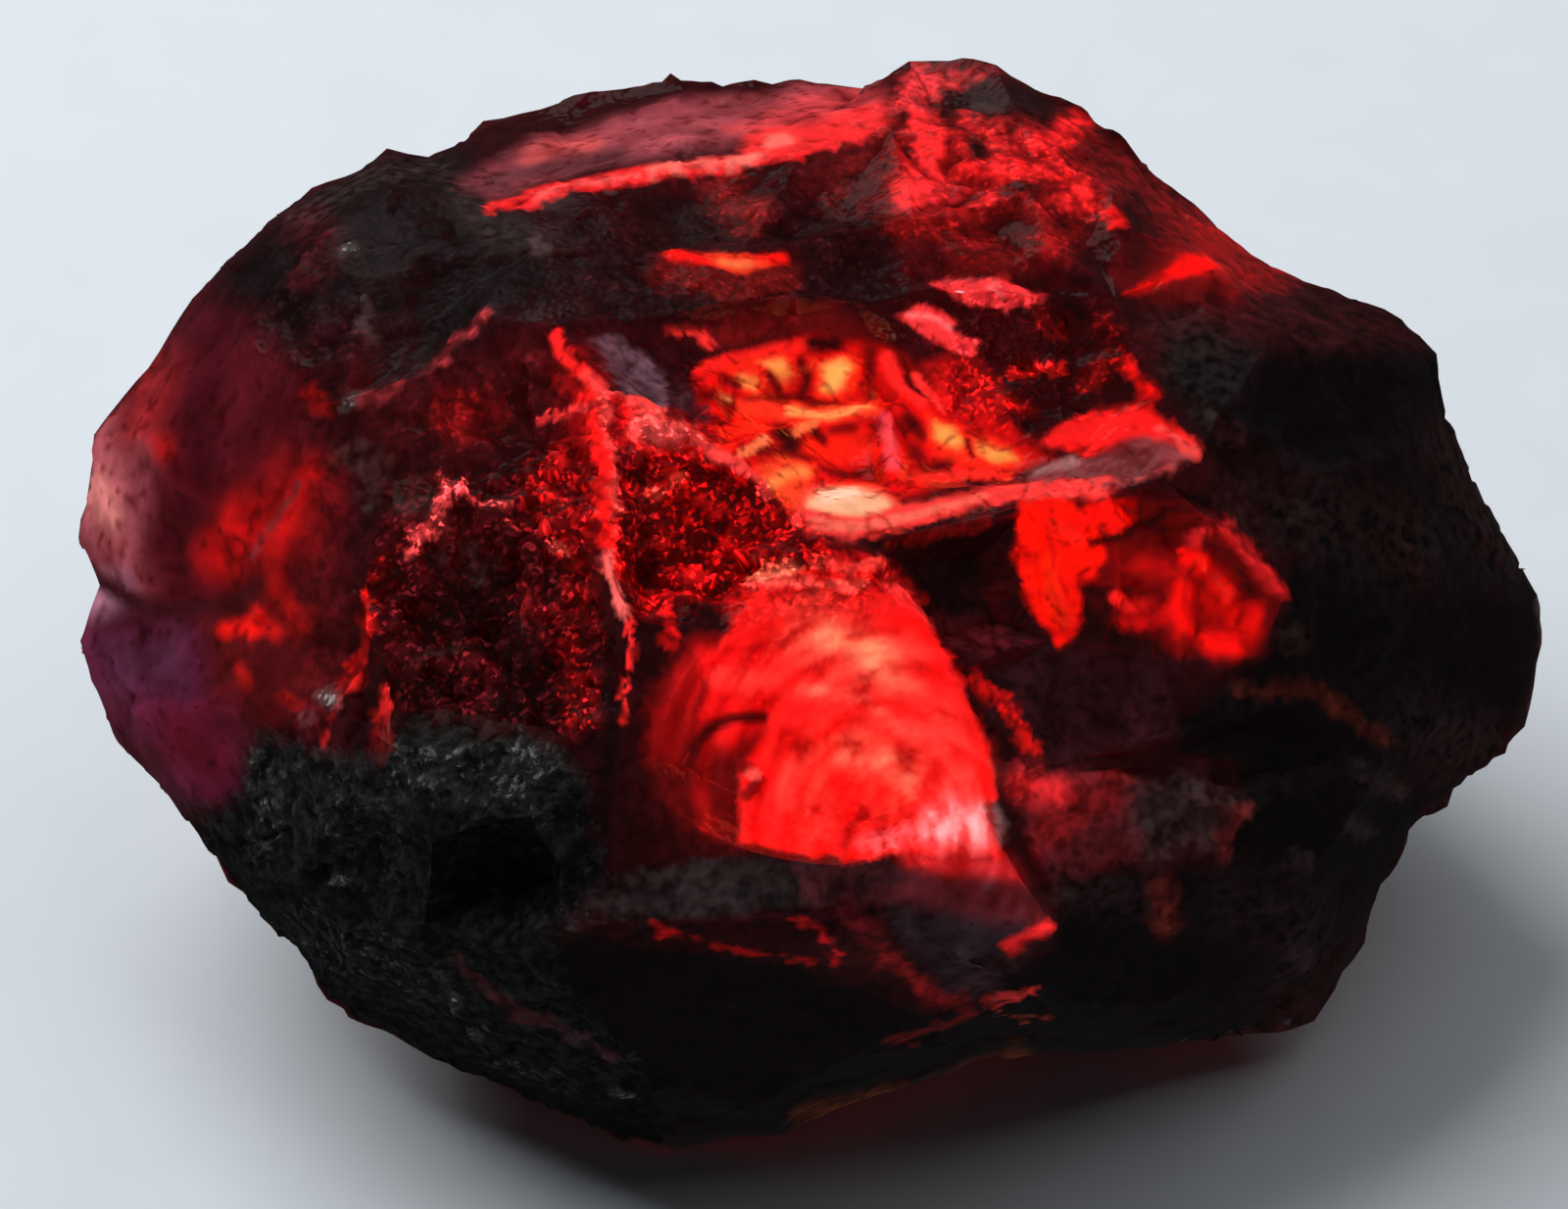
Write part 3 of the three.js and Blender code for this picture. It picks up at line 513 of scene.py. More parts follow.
def paint_basin(b):
    """The hollow in the middle, where painted light gathers in orange and yellow behind melted-looking
    shards.
    """
    b.pool(196, 12, 10, "-0.9,2.3 -0.2,2.55 0.3,2.75 1.0,2.6 1.4,2.3 2.3,1.75 2.7,1.45 1.4,1.15 "
            "0.2,0.72 -0.15,1.0 -0.45,1.5 -0.8,1.75", 0.1)
    b.pool(86, 12, 14, "-1.0,2.7 -0.5,2.95 0.5,3.0 1.0,2.75 0.2,2.7 -0.5,2.55", 0.12)
    b.painted_light_stroke(210, 46, 42, 0.1, "-1.15,2.7 -0.85,2.75 -0.75,2.6", 0.7)
    b.painted_light_stroke(230, 34, 28, 0.12, "-0.85,2.35 -0.5,2.45 -0.1,2.55 0.25,2.62", 0.7)

    # Upper pools, with the dark gaps between them.
    b.pool(250, 44, 24, "-0.6,2.3 -0.3,2.5 0.05,2.5 0.15,2.3 0.0,2.14 -0.35,2.12", 0.06)
    b.pool(255, 148, 80, "-0.25,2.42 0.0,2.46 0.1,2.3 0.0,2.24 -0.1,2.32", 0.05)
    b.painted_light_stroke(255, 140, 78, 0.1, "-0.45,2.24 -0.3,2.2", 0.8)
    b.pool(250, 46, 22, "0.22,2.5 0.45,2.46 0.68,2.55 0.78,2.4 0.74,2.18 0.55,2.08 0.3,2.12 0.34,2.3", 0.05)
    b.pool(255, 174, 98, "0.4,2.4 0.62,2.48 0.7,2.38 0.6,2.22 0.5,2.16 0.36,2.2 0.42,2.3", 0.06)
    b.painted_light_stroke(22, 2, 2, 0.16, "0.3,2.62 0.52,2.64", 0.7)
    b.painted_light_stroke(84, 4, 4, 0.1, "0.17,2.45 0.24,2.3 0.18,2.15", 0.8)
    b.painted_light_stroke(96, 5, 5, 0.12, "0.84,2.55 0.86,2.25 0.92,1.95", 0.8)
    b.painted_light_stroke(112, 6, 6, 0.1, "-0.62,2.28 -0.45,2.2", 0.8)
    b.painted_light_stroke(104, 5, 5, 0.1, "-0.35,2.06 0.0,2.1 0.4,2.04", 0.8)

    # The middle band and the dark blots under it.
    b.painted_light_stroke(252, 58, 32, 0.18, "-0.5,1.96 -0.2,1.98 0.2,1.93 0.6,1.93 0.88,1.95", 0.7)
    b.painted_light_stroke(255, 150, 92, 0.09, "0.05,1.95 0.4,1.91 0.85,1.95", 0.7)
    b.painted_light_stroke(255, 150, 100, 0.09, "-0.63,2.05 -0.6,2.06", 0.4)
    b.painted_light_stroke(244, 36, 18, 0.14, "-0.65,1.62 -0.4,1.74 -0.15,1.8", 0.8)
    b.painted_light_stroke(40, 2, 2, 0.22, "-0.05,1.72 0.08,1.6 0.02,1.52", 0.8)
    b.painted_light_stroke(124, 6, 6, 0.12, "0.5,1.76 0.68,1.74", 0.8)
    b.painted_light_stroke(112, 6, 6, 0.08, "-0.3,1.55 -0.15,1.5 0.15,1.45 0.4,1.5", 0.9)
    b.painted_light_stroke(250, 36, 18, 0.22, "0.3,1.62 0.5,1.55 0.8,1.58", 0.9)
    b.pool(252, 78, 40, "-0.25,1.35 0.0,1.42 0.3,1.36 0.2,1.1 0.1,0.95 -0.12,1.02 -0.2,1.2", 0.08)
    b.painted_light_stroke(255, 136, 76, 0.12, "-0.12,1.2 0.05,1.28 0.2,1.3", 0.9)
    b.painted_light_stroke(124, 6, 6, 0.08, "0.35,1.38 0.6,1.32 0.9,1.34", 0.9)

    b.painted_light_stroke(124, 6, 6, 0.12, "-0.75,2.1 -0.55,1.95 -0.6,1.8", 0.8)
    b.painted_light_stroke(96, 5, 5, 0.1, "0.3,1.75 0.42,1.66", 0.8)
    b.painted_light_stroke(112, 6, 6, 0.09, "-0.15,2.3 -0.05,2.18", 0.7)
    b.painted_light_stroke(255, 120, 72, 0.08, "0.12,1.72 0.3,1.84", 0.7)
    b.painted_light_stroke(255, 130, 84, 0.08, "-0.4,1.5 -0.2,1.62", 0.7)

    # The smooth pale oval, a painted highlight.
    b.pool(255, 84, 64,
           "0.08,0.92 0.18,1.1 0.42,1.22 0.7,1.24 0.96,1.16 1.14,1.0 1.1,0.86 0.8,0.76 0.4,0.76", 0.05)
    b.pool(255, 178, 140, "0.17,0.93 0.26,1.07 0.45,1.17 0.68,1.19 0.9,1.12 1.05,1.0 1.02,0.9 0.78,0.82 "
            "0.42,0.82", 0.05)
    b.painted_light_stroke(255, 214, 182, 0.14, "0.42,1.06 0.66,1.1", 1.0)

    # Right of it: streaks and the long yellow patch of painted light.
    b.painted_light_stroke(206, 64, 74, 0.14, "1.0,1.82 1.06,1.6 1.1,1.38", 0.7)
    b.painted_light_stroke(255, 46, 42, 0.13, "1.02,2.5 1.15,2.25 1.38,2.03", 0.6)
    b.painted_light_stroke(70, 4, 4, 0.09, "1.18,2.45 1.3,2.22 1.5,2.08", 0.8)
    b.painted_light_stroke(255, 60, 54, 0.08, "1.35,2.3 1.6,1.98", 0.6)
    b.painted_light_stroke(84, 4, 4, 0.12, "1.25,1.85 1.38,1.7", 0.8)
    b.pool(250, 48, 24, "1.42,1.9 1.7,1.8 2.1,1.7 2.4,1.48 2.2,1.36 1.8,1.42 1.5,1.5", 0.06)
    b.pool(255, 160, 86, "1.5,1.82 1.66,1.8 1.8,1.66 1.78,1.58 1.6,1.6 1.5,1.68", 0.05)
    b.pool(255, 152, 80, "1.95,1.66 2.2,1.6 2.3,1.48 2.1,1.46 1.96,1.52", 0.05)
    b.painted_light_stroke(110, 5, 5, 0.06, "1.85,1.72 1.9,1.5", 0.8)
    b.painted_light_stroke(250, 50, 38, 0.12, "1.2,1.25 1.7,1.3 2.2,1.3", 0.8)
    b.painted_light_stroke(104, 5, 5, 0.14, "1.3,1.55 1.42,1.38 1.62,1.4", 0.9)
    # A purple-grey shard at the left, its grey a painted sheen.
    b.pool(84, 56, 66, "-1.95,2.6 -1.75,2.7 -1.5,2.6 -1.25,2.3 -1.15,1.95 -1.5,2.1 -1.75,2.3", 0.06)
    b.pool(44, 24, 30, "-1.2,2.2 -1.0,2.2 -0.75,1.9 -0.75,1.75 -1.05,1.9", 0.06)


def paint_flake(b):
    """A thin pink flake in painted light standing over the basin, with two painted glints, and the dark
    hollow behind it.
    """
    b.pool(26, 3, 5, "1.2,3.3 2.6,3.1 3.4,3.1 3.5,2.4 3.2,2.0 2.6,1.9 2.2,2.0 1.5,2.5", 0.12)
    b.patch("grain", 0.6, "1.9,3.1 2.6,3.1 3.4,3.1 3.5,2.4 3.2,2.0 2.6,1.7 1.6,1.9 1.6,2.3", 0.15)
    b.pool(164, 16, 16, "1.4,2.45 1.8,2.55 2.1,2.3 2.5,1.95 2.1,1.85 1.7,1.95", 0.1)
    b.painted_light_stroke(186, 24, 22, 0.08, "2.3,2.35 2.55,2.4 2.75,2.38", 0.7)
    b.painted_light_stroke(120, 14, 14, 0.12, "2.6,2.9 2.75,2.75", 0.8)
    b.painted_light_stroke(112, 10, 10, 0.2, "3.0,2.2 3.3,2.5 3.2,2.8", 0.8)
    b.pool(236, 62, 66, "1.45,3.28 1.8,3.3 2.25,3.27 2.62,3.12 2.3,3.02 1.95,3.0 1.75,3.08", 0.03)
    b.pool(240, 62, 66,
           "1.13,2.92 1.35,3.03 1.62,2.98 1.78,2.84 1.68,2.76 1.97,2.66 1.92,2.52 1.55,2.64 1.25,2.82", 0.03)
    b.painted_light_stroke(255, 120, 120, 0.06, "1.25,2.93 1.5,2.9 1.68,2.8", 0.6)
    # Two painted glints on the flake.
    b.painted_light_stroke(255, 200, 200, 0.06, "1.77,3.19 1.8,3.18", 0.5)
    b.painted_light_stroke(255, 190, 190, 0.06, "2.1,3.2 2.13,3.19", 0.5)
    b.painted_light_stroke(214, 18, 16, 0.12, "3.38,2.5 3.55,2.25 3.66,2.12", 0.6)
    b.pool(254, 36, 34, "2.55,1.62 3.05,1.9 3.6,2.02 3.85,1.8 4.2,1.52 3.6,1.66 3.0,1.5", 0.05)
    b.painted_light_stroke(24, 3, 4, 0.14, "2.4,1.8 2.9,1.97 3.4,2.14", 0.7)


def paint_ledge(b):
    """The pale ledge across the middle, and the grey-pink triangle it ends in, both in painted light."""
    b.pool(126, 54, 58, "2.3,1.28 3.0,1.45 3.6,1.68 4.12,1.5 3.9,1.38 3.1,1.15 2.4,1.12", 0.06)
    b.painted_light_stroke(150, 92, 92, 0.09, "2.5,1.32 2.9,1.43", 0.8)
    b.painted_light_stroke(232, 62, 58, 0.2, "0.15,0.84 0.7,0.74 1.3,0.92 2.0,1.06 2.6,1.13 3.2,1.2", 0.5)
    b.painted_light_stroke(255, 112, 96, 0.09, "0.25,0.8 0.7,0.75 1.1,0.85 1.4,0.95 2.0,1.05", 0.5)
    b.painted_light_stroke(226, 74, 70, 0.08, "3.75,1.75 4.0,1.6 4.18,1.5", 0.5)
    b.painted_light_stroke(150, 60, 60, 0.05, "3.2,1.18 3.6,1.25 3.9,1.36", 0.5)


def paint_wedge(b):
    """The black wedge under the ledge and the smoky glass right of the shell break, with a red streak of
    painted light.
    """
    b.pool(13, 4, 5,
           "0.9,0.62 1.5,0.8 2.42,0.92 2.38,0.4 2.5,-0.2 2.85,-0.5 2.0,-0.5 1.4,-0.05 1.15,0.3", 0.05)
    b.patch("soot", 1.2, "0.9,0.62 1.5,0.8 2.42,0.92 2.38,0.4 2.5,-0.2 2.2,-0.4 1.5,-0.05 1.15,0.3", 0.1)
    b.painted_light_stroke(96, 10, 10, 0.1, "1.0,0.6 1.4,0.7 2.0,0.8", 0.9)
    b.pool(30, 9, 12, "1.45,-0.15 2.5,-0.2 3.0,-0.5 3.9,-0.55 3.9,-1.4 2.6,-1.6 2.1,-1.2 1.75,-0.55", 0.12)
    b.patch("soot", 0.6, "2.2,-0.6 3.9,-0.6 3.9,-1.4 2.6,-1.5", 0.2)
    b.painted_light_stroke(62, 16, 20, 0.26, "1.65,-0.25 2.1,-0.3", 1.0)
    b.painted_light_stroke(186, 20, 18, 0.14, "1.9,-0.74 2.15,-0.95 2.35,-1.3 2.45,-1.45", 0.7)


def paint_windows(b):
    """The clear windows right of the wedge, lit red with painted light."""
    b.pool(104, 5, 5, "3.0,1.05 3.7,1.05 4.4,0.85 5.0,0.1 4.75,-0.5 3.9,-0.5 3.3,-0.2 2.9,0.3", 0.1)
    b.pool(250, 22, 6,
           "2.36,0.98 2.9,1.02 3.15,0.82 3.22,0.45 3.02,0.12 2.96,-0.28 2.76,-0.42 2.46,0.0 2.34,0.5", 0.04)
    b.painted_light_stroke(255, 46, 16, 0.16, "2.62,0.45 2.7,0.1 2.8,-0.15", 0.8)
    b.painted_light_stroke(255, 40, 20, 0.12, "2.7,0.8 2.95,0.65", 0.8)
    b.painted_light_stroke(200, 12, 6, 0.06, "2.62,0.75 2.68,0.4 2.85,0.1", 0.9)
    b.painted_light_stroke(236, 18, 10, 0.2, "3.1,0.95 3.45,0.95 3.35,0.78", 0.5)
    b.painted_light_stroke(30, 3, 3, 0.1, "3.1,0.62 3.4,0.7 3.8,0.9", 0.8)
    b.painted_light_stroke(140, 6, 6, 0.3, "3.5,0.42 3.95,0.3", 1.0)
    b.painted_light_stroke(186, 8, 5, 0.36, "4.1,0.05 4.45,-0.1 4.5,-0.3", 1.0)
    b.painted_light_stroke(30, 3, 3, 0.16, "3.05,0.15 3.25,0.05 3.2,-0.1", 0.8)
    b.painted_light_stroke(226, 30, 26, 0.12, "3.3,0.05 3.45,-0.05 3.6,0.0", 0.7)
    b.painted_light_stroke(214, 18, 14, 0.16, "3.4,-0.2 3.7,-0.15 3.95,0.0", 0.8)
    b.painted_light_stroke(244, 16, 8, 0.18, "4.02,0.48 4.3,0.3 4.5,0.0", 0.6)
    b.painted_light_stroke(255, 48, 34, 0.06, "4.12,0.42 4.32,0.25 4.45,0.05", 0.6)
    b.painted_light_stroke(214, 12, 8, 0.18, "3.95,0.1 4.0,-0.2 4.25,-0.38 4.6,-0.38 4.72,-0.1", 0.8)
    b.painted_light_stroke(150, 22, 24, 0.12, "4.05,0.62 4.4,0.82 4.7,0.5 4.97,0.12", 0.7)
    b.painted_light_stroke(40, 4, 4, 0.1, "4.2,0.6 4.5,0.5 4.68,0.2", 0.8)
    b.painted_light_stroke(20, 4, 4, 0.14, "3.0,-0.28 3.4,-0.35 3.7,-0.4", 0.8)


def paint_shell_break(b):
    """The fan-shaped shell break, the brightest part of the stone, in painted light."""
    b.patch("arcs", 1.0,
            "-0.8,-0.2 0.2,-0.05 1.2,0 2.1,-1 2.2,-2.1 2.6,-3.2 1.2,-2.6 0,-2.6 -0.5,-2.3 -1.4,-1.2", 0.15)
    b.pool(38, 5, 6, "-1.5,-0.9 -0.6,-0.7 -0.4,-2.5 -1.6,-2.7", 0.15)
    b.pool(96, 8, 9, "-1.3,-1.1 -0.8,-0.9 -0.4,-1.2 -0.4,-2.35 -0.8,-2.3 -1.15,-2.0", 0.2)
    b.painted_light_stroke(150, 14, 15, 0.14, "-0.75,-1.4 -0.85,-1.8 -0.75,-2.2", 0.9)
    b.pool(252, 36, 34, "-0.6,-0.33 -0.3,0.1 0.3,0.0 0.9,0.1 1.25,0.0 1.64,-0.54 1.9,-1.2 2.12,-1.95 "
            "1.92,-2.0 2.2,-2.5 1.1,-2.45 0.7,-2.56 0.0,-2.45 -0.43,-2.33 -0.43,-1.69 -0.15,-1.2 "
            "-0.5,-0.95 -0.86,-0.75", 0.05)
    b.pool(222, 22, 22, "-0.86,-0.4 -0.3,-0.45 0.1,-0.8 -0.2,-1.3 -0.5,-1.42 -0.8,-1.3 -1.0,-0.95", 0.2)
    b.painted_light_stroke(150, 14, 15, 0.3, "-0.95,-0.7 -1.15,-1.05 -1.2,-1.4", 1.0)
    b.painted_light_stroke(140, 10, 11, 0.1, "-0.75,-0.8 -0.9,-1.1 -0.95,-1.3", 0.9)
    b.painted_light_stroke(70, 4, 6, 0.12, "-0.9,-1.45 -0.75,-1.25 -0.5,-1.12 -0.2,-1.1", 0.7)
    b.painted_light_stroke(206, 12, 14, 0.1, "-0.55,-0.47 0.0,-0.42 0.4,-0.4", 0.7)
    b.painted_light_stroke(255, 96, 80, 0.6, "0.3,-0.35 0.75,-0.5 1.05,-0.72", 0.9)
    b.painted_light_stroke(255, 150, 116, 0.28, "0.45,-0.32 0.8,-0.4 1.0,-0.6", 0.9)
    b.painted_light_stroke(255, 70, 62, 0.2, "-0.6,-0.75 0.1,-0.8 0.8,-0.95 1.35,-1.35 1.5,-1.8", 0.9)
    b.painted_light_stroke(255, 104, 88, 0.1, "0.2,-0.82 0.8,-0.95 1.25,-1.28 1.42,-1.7", 0.8)
    b.painted_light_stroke(255, 62, 50, 0.7, "0.3,-1.6 0.8,-1.5 1.2,-1.7", 1.0)
    b.painted_light_stroke(255, 120, 96, 0.26, "0.6,-1.45 0.95,-1.5 1.2,-1.75", 1.0)
    b.painted_light_stroke(255, 78, 66, 0.26, "0.05,-1.6 0.1,-2.0 0.3,-2.25", 1.0)
    b.painted_light_stroke(252, 34, 30, 0.2, "0.5,-1.7 0.68,-2.0 0.66,-2.3", 0.9)
    b.painted_light_stroke(255, 72, 64, 0.5, "1.5,-1.2 1.75,-1.7", 0.9)
    b.painted_light_stroke(130, 14, 16, 0.12, "-0.4,-1.6 -0.25,-1.72 -0.38,-1.9", 0.7)
    b.painted_light_stroke(255, 92, 84, 0.1, "-0.33,-1.68 -0.28,-1.7", 0.5)
    b.painted_light_stroke(190, 16, 18, 0.1, "0.6,-2.5 0.68,-2.25 0.8,-2.05", 0.7)
    # A pale pink painted highlight and the streak that leads to it.
    b.painted_light_stroke(255, 104, 108, 0.2, "0.85,-2.38 1.2,-2.28 1.5,-2.22", 0.7)
    b.painted_light_stroke(255, 168, 170, 0.4, "1.6,-2.17 1.85,-2.2", 0.9)
    b.pool(190, 44, 48, "1.1,-2.45 1.5,-2.45 2.25,-2.5 2.4,-2.75 1.7,-2.7 1.2,-2.6", 0.14)
    b.pool(80, 30, 35, "1.0,-2.62 1.7,-2.72 2.42,-2.75 2.65,-3.2 1.8,-3.15 1.0,-2.95", 0.12)
    b.pool(38, 28, 33, "1.0,-2.95 1.9,-3.1 2.5,-3.2 2.3,-3.6 2.1,-3.95 1.6,-3.85 1.2,-3.4", 0.12)


def paint_threshold(b):
    """The broken strip between basin and shell break, with pale splinters of painted light in it."""
    b.pool(176, 12, 12, "-0.7,0.25 -0.2,0.5 0.6,0.55 1.1,0.35 1.35,0.0 0.9,-0.1 0.2,-0.1 -0.5,-0.2", 0.12)
    b.patch("grain", 0.25, "-0.7,0.3 -0.2,0.6 0.8,0.6 1.3,0.1 0.9,-0.1 0.2,-0.2 -0.5,-0.3", 0.15)
    b.painted_light_stroke(255, 120, 96, 0.13, "-0.3,0.28 0.0,0.3 0.05,0.38", 0.6)
    b.painted_light_stroke(255, 84, 74, 0.08, "-0.35,0.2 0.2,0.22 0.8,0.2", 0.5)
    b.painted_light_stroke(255, 70, 62, 0.12, "0.3,0.42 0.7,0.35 1.0,0.4", 0.7)
    b.painted_light_stroke(112, 12, 14, 0.26, "-0.2,-0.05 -0.05,-0.1", 0.8)
    b.painted_light_stroke(235, 60, 58, 0.14, "1.05,0.2 1.25,0.0 1.4,-0.2", 0.7)
    b.stroke("dust_and_sheen", 0.8, 0.05, "1.15,-0.03 1.22,-0.05", 0.5)


def paint_bent_ridge(b):
    """The ridge that runs down from the knob and forks above the splintered triangle, its edges picked out
    with painted highlights.
    """
    b.painted_light_stroke(120, 9, 10, 0.5, "-2.1,2.3 -1.85,1.8 -1.8,1.3 -1.75,0.8", 0.8)
    fork = "-1.85,2.15 -1.5,2.0 -1.1,1.9 -0.6,1.6 -0.9,1.5 -1.6,1.55 -1.95,1.7"
    b.pool(160, 12, 13, fork, 0.08)
    b.patch("grain", 0.5, fork, 0.08)
    b.painted_light_stroke(250, 40, 38, 0.13, "-2.28,2.7 -2.2,2.5 -2.0,2.3 -1.78,2.05", 0.5)
    b.painted_light_stroke(244, 30, 28, 0.2, "-1.95,2.0 -1.85,1.65 -1.78,1.24 -1.72,0.8 -1.68,0.4", 0.5)
    b.painted_light_stroke(255, 80, 76, 0.08, "-1.8,2.1 -1.75,1.7 -1.7,1.2 -1.68,0.7", 0.5)
    b.painted_light_stroke(255, 78, 74, 0.09, "-2.0,2.3 -1.75,2.1 -1.5,2.02 -1.2,1.85 -0.85,1.65 -0.45,1.4 -0.15,1.1", 0.5)
    b.painted_light_stroke(255, 92, 88, 0.22, "-1.4,1.76 -1.12,1.74", 0.6)
    b.painted_light_stroke(255, 112, 108, 0.12, "-1.75,0.45 -1.66,0.15 -1.55,-0.12", 0.5)
    b.painted_light_stroke(206, 40, 40, 0.08, "-1.54,-0.15 -1.53,-0.6 -1.58,-1.15", 0.5)
    b.painted_light_stroke(190, 18, 18, 0.1, "-1.3,0.1 -1.14,-0.15 -1.15,-0.4", 0.7)
    b.painted_light_stroke(14, 3, 4, 0.14, "-1.72,-0.3 -1.68,-1.0 -1.75,-2.0 -1.8,-2.6", 0.7)
    b.painted_light_stroke(20, 3, 4, 0.12, "-1.4,-0.2 -1.35,-0.8 -1.45,-1.6", 0.7)
    b.painted_light_stroke(190, 46, 46, 0.07, "-2.4,1.85 -2.0,1.95 -1.9,2.0", 0.6)


def paint_splinters(b):
    """The splintered triangle and the deep pocket left of it, darker in its middle: dark red glass that
    sparkles with painted light.
    """
    b.patch("grain", 1.0,
            "-1.65,1.55 -0.8,1.5 -0.1,1.15 0.2,0.75 0.6,0.5 -0.3,0.3 -0.7,0.0 -1.4,-0.1 -1.7,0.5", 0.08)
    b.pool(132, 7, 8,
           "-1.65,1.55 -0.8,1.5 -0.1,1.15 0.2,0.75 0.5,0.5 -0.3,0.3 -0.7,0.0 -1.4,-0.1 -1.6,0.5", 0.07)
    b.painted_light_stroke(60, 5, 6, 0.3, "-1.45,1.3 -1.4,0.7 -1.3,0.3", 0.9)
    b.painted_light_stroke(226, 66, 54, 0.05, "-1.4,1.05 -1.15,1.18 -1.0,1.32", 0.5)
    b.patch("grain", 1.0,
            "-4.0,1.2 -3.0,1.35 -2.2,1.6 -1.9,1.2 -1.9,0.2 -1.7,-0.3 -1.8,-1.3 -3.1,-1.3 -3.9,-1.0 "
            "-4.2,0", 0.12)
    b.pool(44, 6, 8,
           "-4.0,1.2 -3.0,1.35 -2.2,1.6 -1.9,1.2 -1.9,0.2 -1.7,-0.3 -1.8,-1.3 -3.1,-1.3 -3.9,-1.1 "
           "-4.1,0", 0.12)
    b.pool(26, 5, 6, "-3.4,0.5 -2.7,0.6 -2.4,0.1 -2.3,-0.6 -2.6,-1.2 -3.4,-1.1 -3.7,-0.4", 0.25)
    b.patch("soot", 0.7, "-3.5,0.4 -2.8,0.4 -2.4,-0.1 -2.2,-1.2 -3.1,-1.3 -3.8,-1.0 -3.8,-0.2", 0.25)
    b.painted_light_stroke(128, 12, 14, 0.45, "-2.1,1.6 -2.35,1.15 -2.15,0.7", 0.9)
    b.painted_light_stroke(104, 11, 13, 0.3, "-2.0,0.3 -2.1,-0.5 -2.0,-1.1", 0.9)
    b.painted_light_stroke(84, 13, 16, 0.25, "-2.6,0.1 -2.3,-0.2", 0.9)
    b.painted_light_stroke(66, 12, 16, 0.36, "-3.3,-0.5 -3.0,-0.8", 0.9)
    b.stroke("dust_and_sheen", 0.5, 0.12, "-3.4,0.35 -3.1,0.5 -3.05,0.25", 0.8)
    b.stroke("dust_and_sheen", 0.35, 0.12, "-3.7,-0.55 -3.2,-0.5", 0.8)
    b.painted_light_stroke(196, 66, 66, 0.15, "-3.8,0.55 -3.5,0.75 -3.32,1.05", 0.5)
    b.painted_light_stroke(170, 54, 56, 0.06, "-3.6,1.2 -3.2,1.15 -2.85,1.0 -2.55,0.75 -2.2,0.55", 0.5)
    b.painted_light_stroke(206, 74, 68, 0.05, "-2.35,0.6 -2.15,0.52", 0.5)
    b.pool(40, 7, 9, "-4.3,2.0 -3.4,2.3 -2.6,2.6 -2.2,2.4 -2.3,1.8 -3.0,1.5 -3.9,1.2 -4.4,1.4", 0.2)
    b.patch("grain", 0.4, "-4.0,1.9 -3.4,2.2 -2.6,2.5 -2.2,2.4 -2.2,1.7 -3.0,1.5 -3.7,1.4", 0.2)
    b.painted_light_stroke(100, 12, 14, 0.35, "-3.3,1.85 -3.0,1.9", 1.0)
    b.painted_light_stroke(84, 22, 26, 0.12, "-2.7,2.5 -2.4,2.45", 0.9)
    b.stroke("dust_and_sheen", 0.2, 0.3, "-4.4,1.5 -4.1,1.4 -4.1,1.1", 0.9)
    b.stroke("dust_and_sheen", 0.6, 0.26, "-3.75,1.05 -3.6,1.02", 0.5)
    b.stroke("dust_and_sheen", 1.2, 0.09, "-4.13,1.0 -4.05,1.03", 0.5)
    b.painted_light_stroke(196, 26, 24, 0.11, "-4.05,0.45 -4.2,0.05 -4.2,-0.35 -4.35,-0.75", 0.5)
    b.painted_light_stroke(160, 34, 32, 0.08, "-4.35,-0.75 -4.5,-1.1 -4.6,-1.4", 0.6)
    b.painted_light_stroke(170, 32, 30, 0.1, "-3.98,-0.85 -4.05,-1.1", 0.6)
    b.painted_light_stroke(120, 20, 22, 0.24, "-3.9,-1.2 -4.0,-1.45", 0.8)
    b.stroke("dust_and_sheen", 1.2, 0.16, "-4.62,-0.9 -4.5,-0.95", 0.5)
    b.stroke("dust_and_sheen", 1.0, 0.07, "-4.8,-1.14 -4.72,-1.12", 0.5)


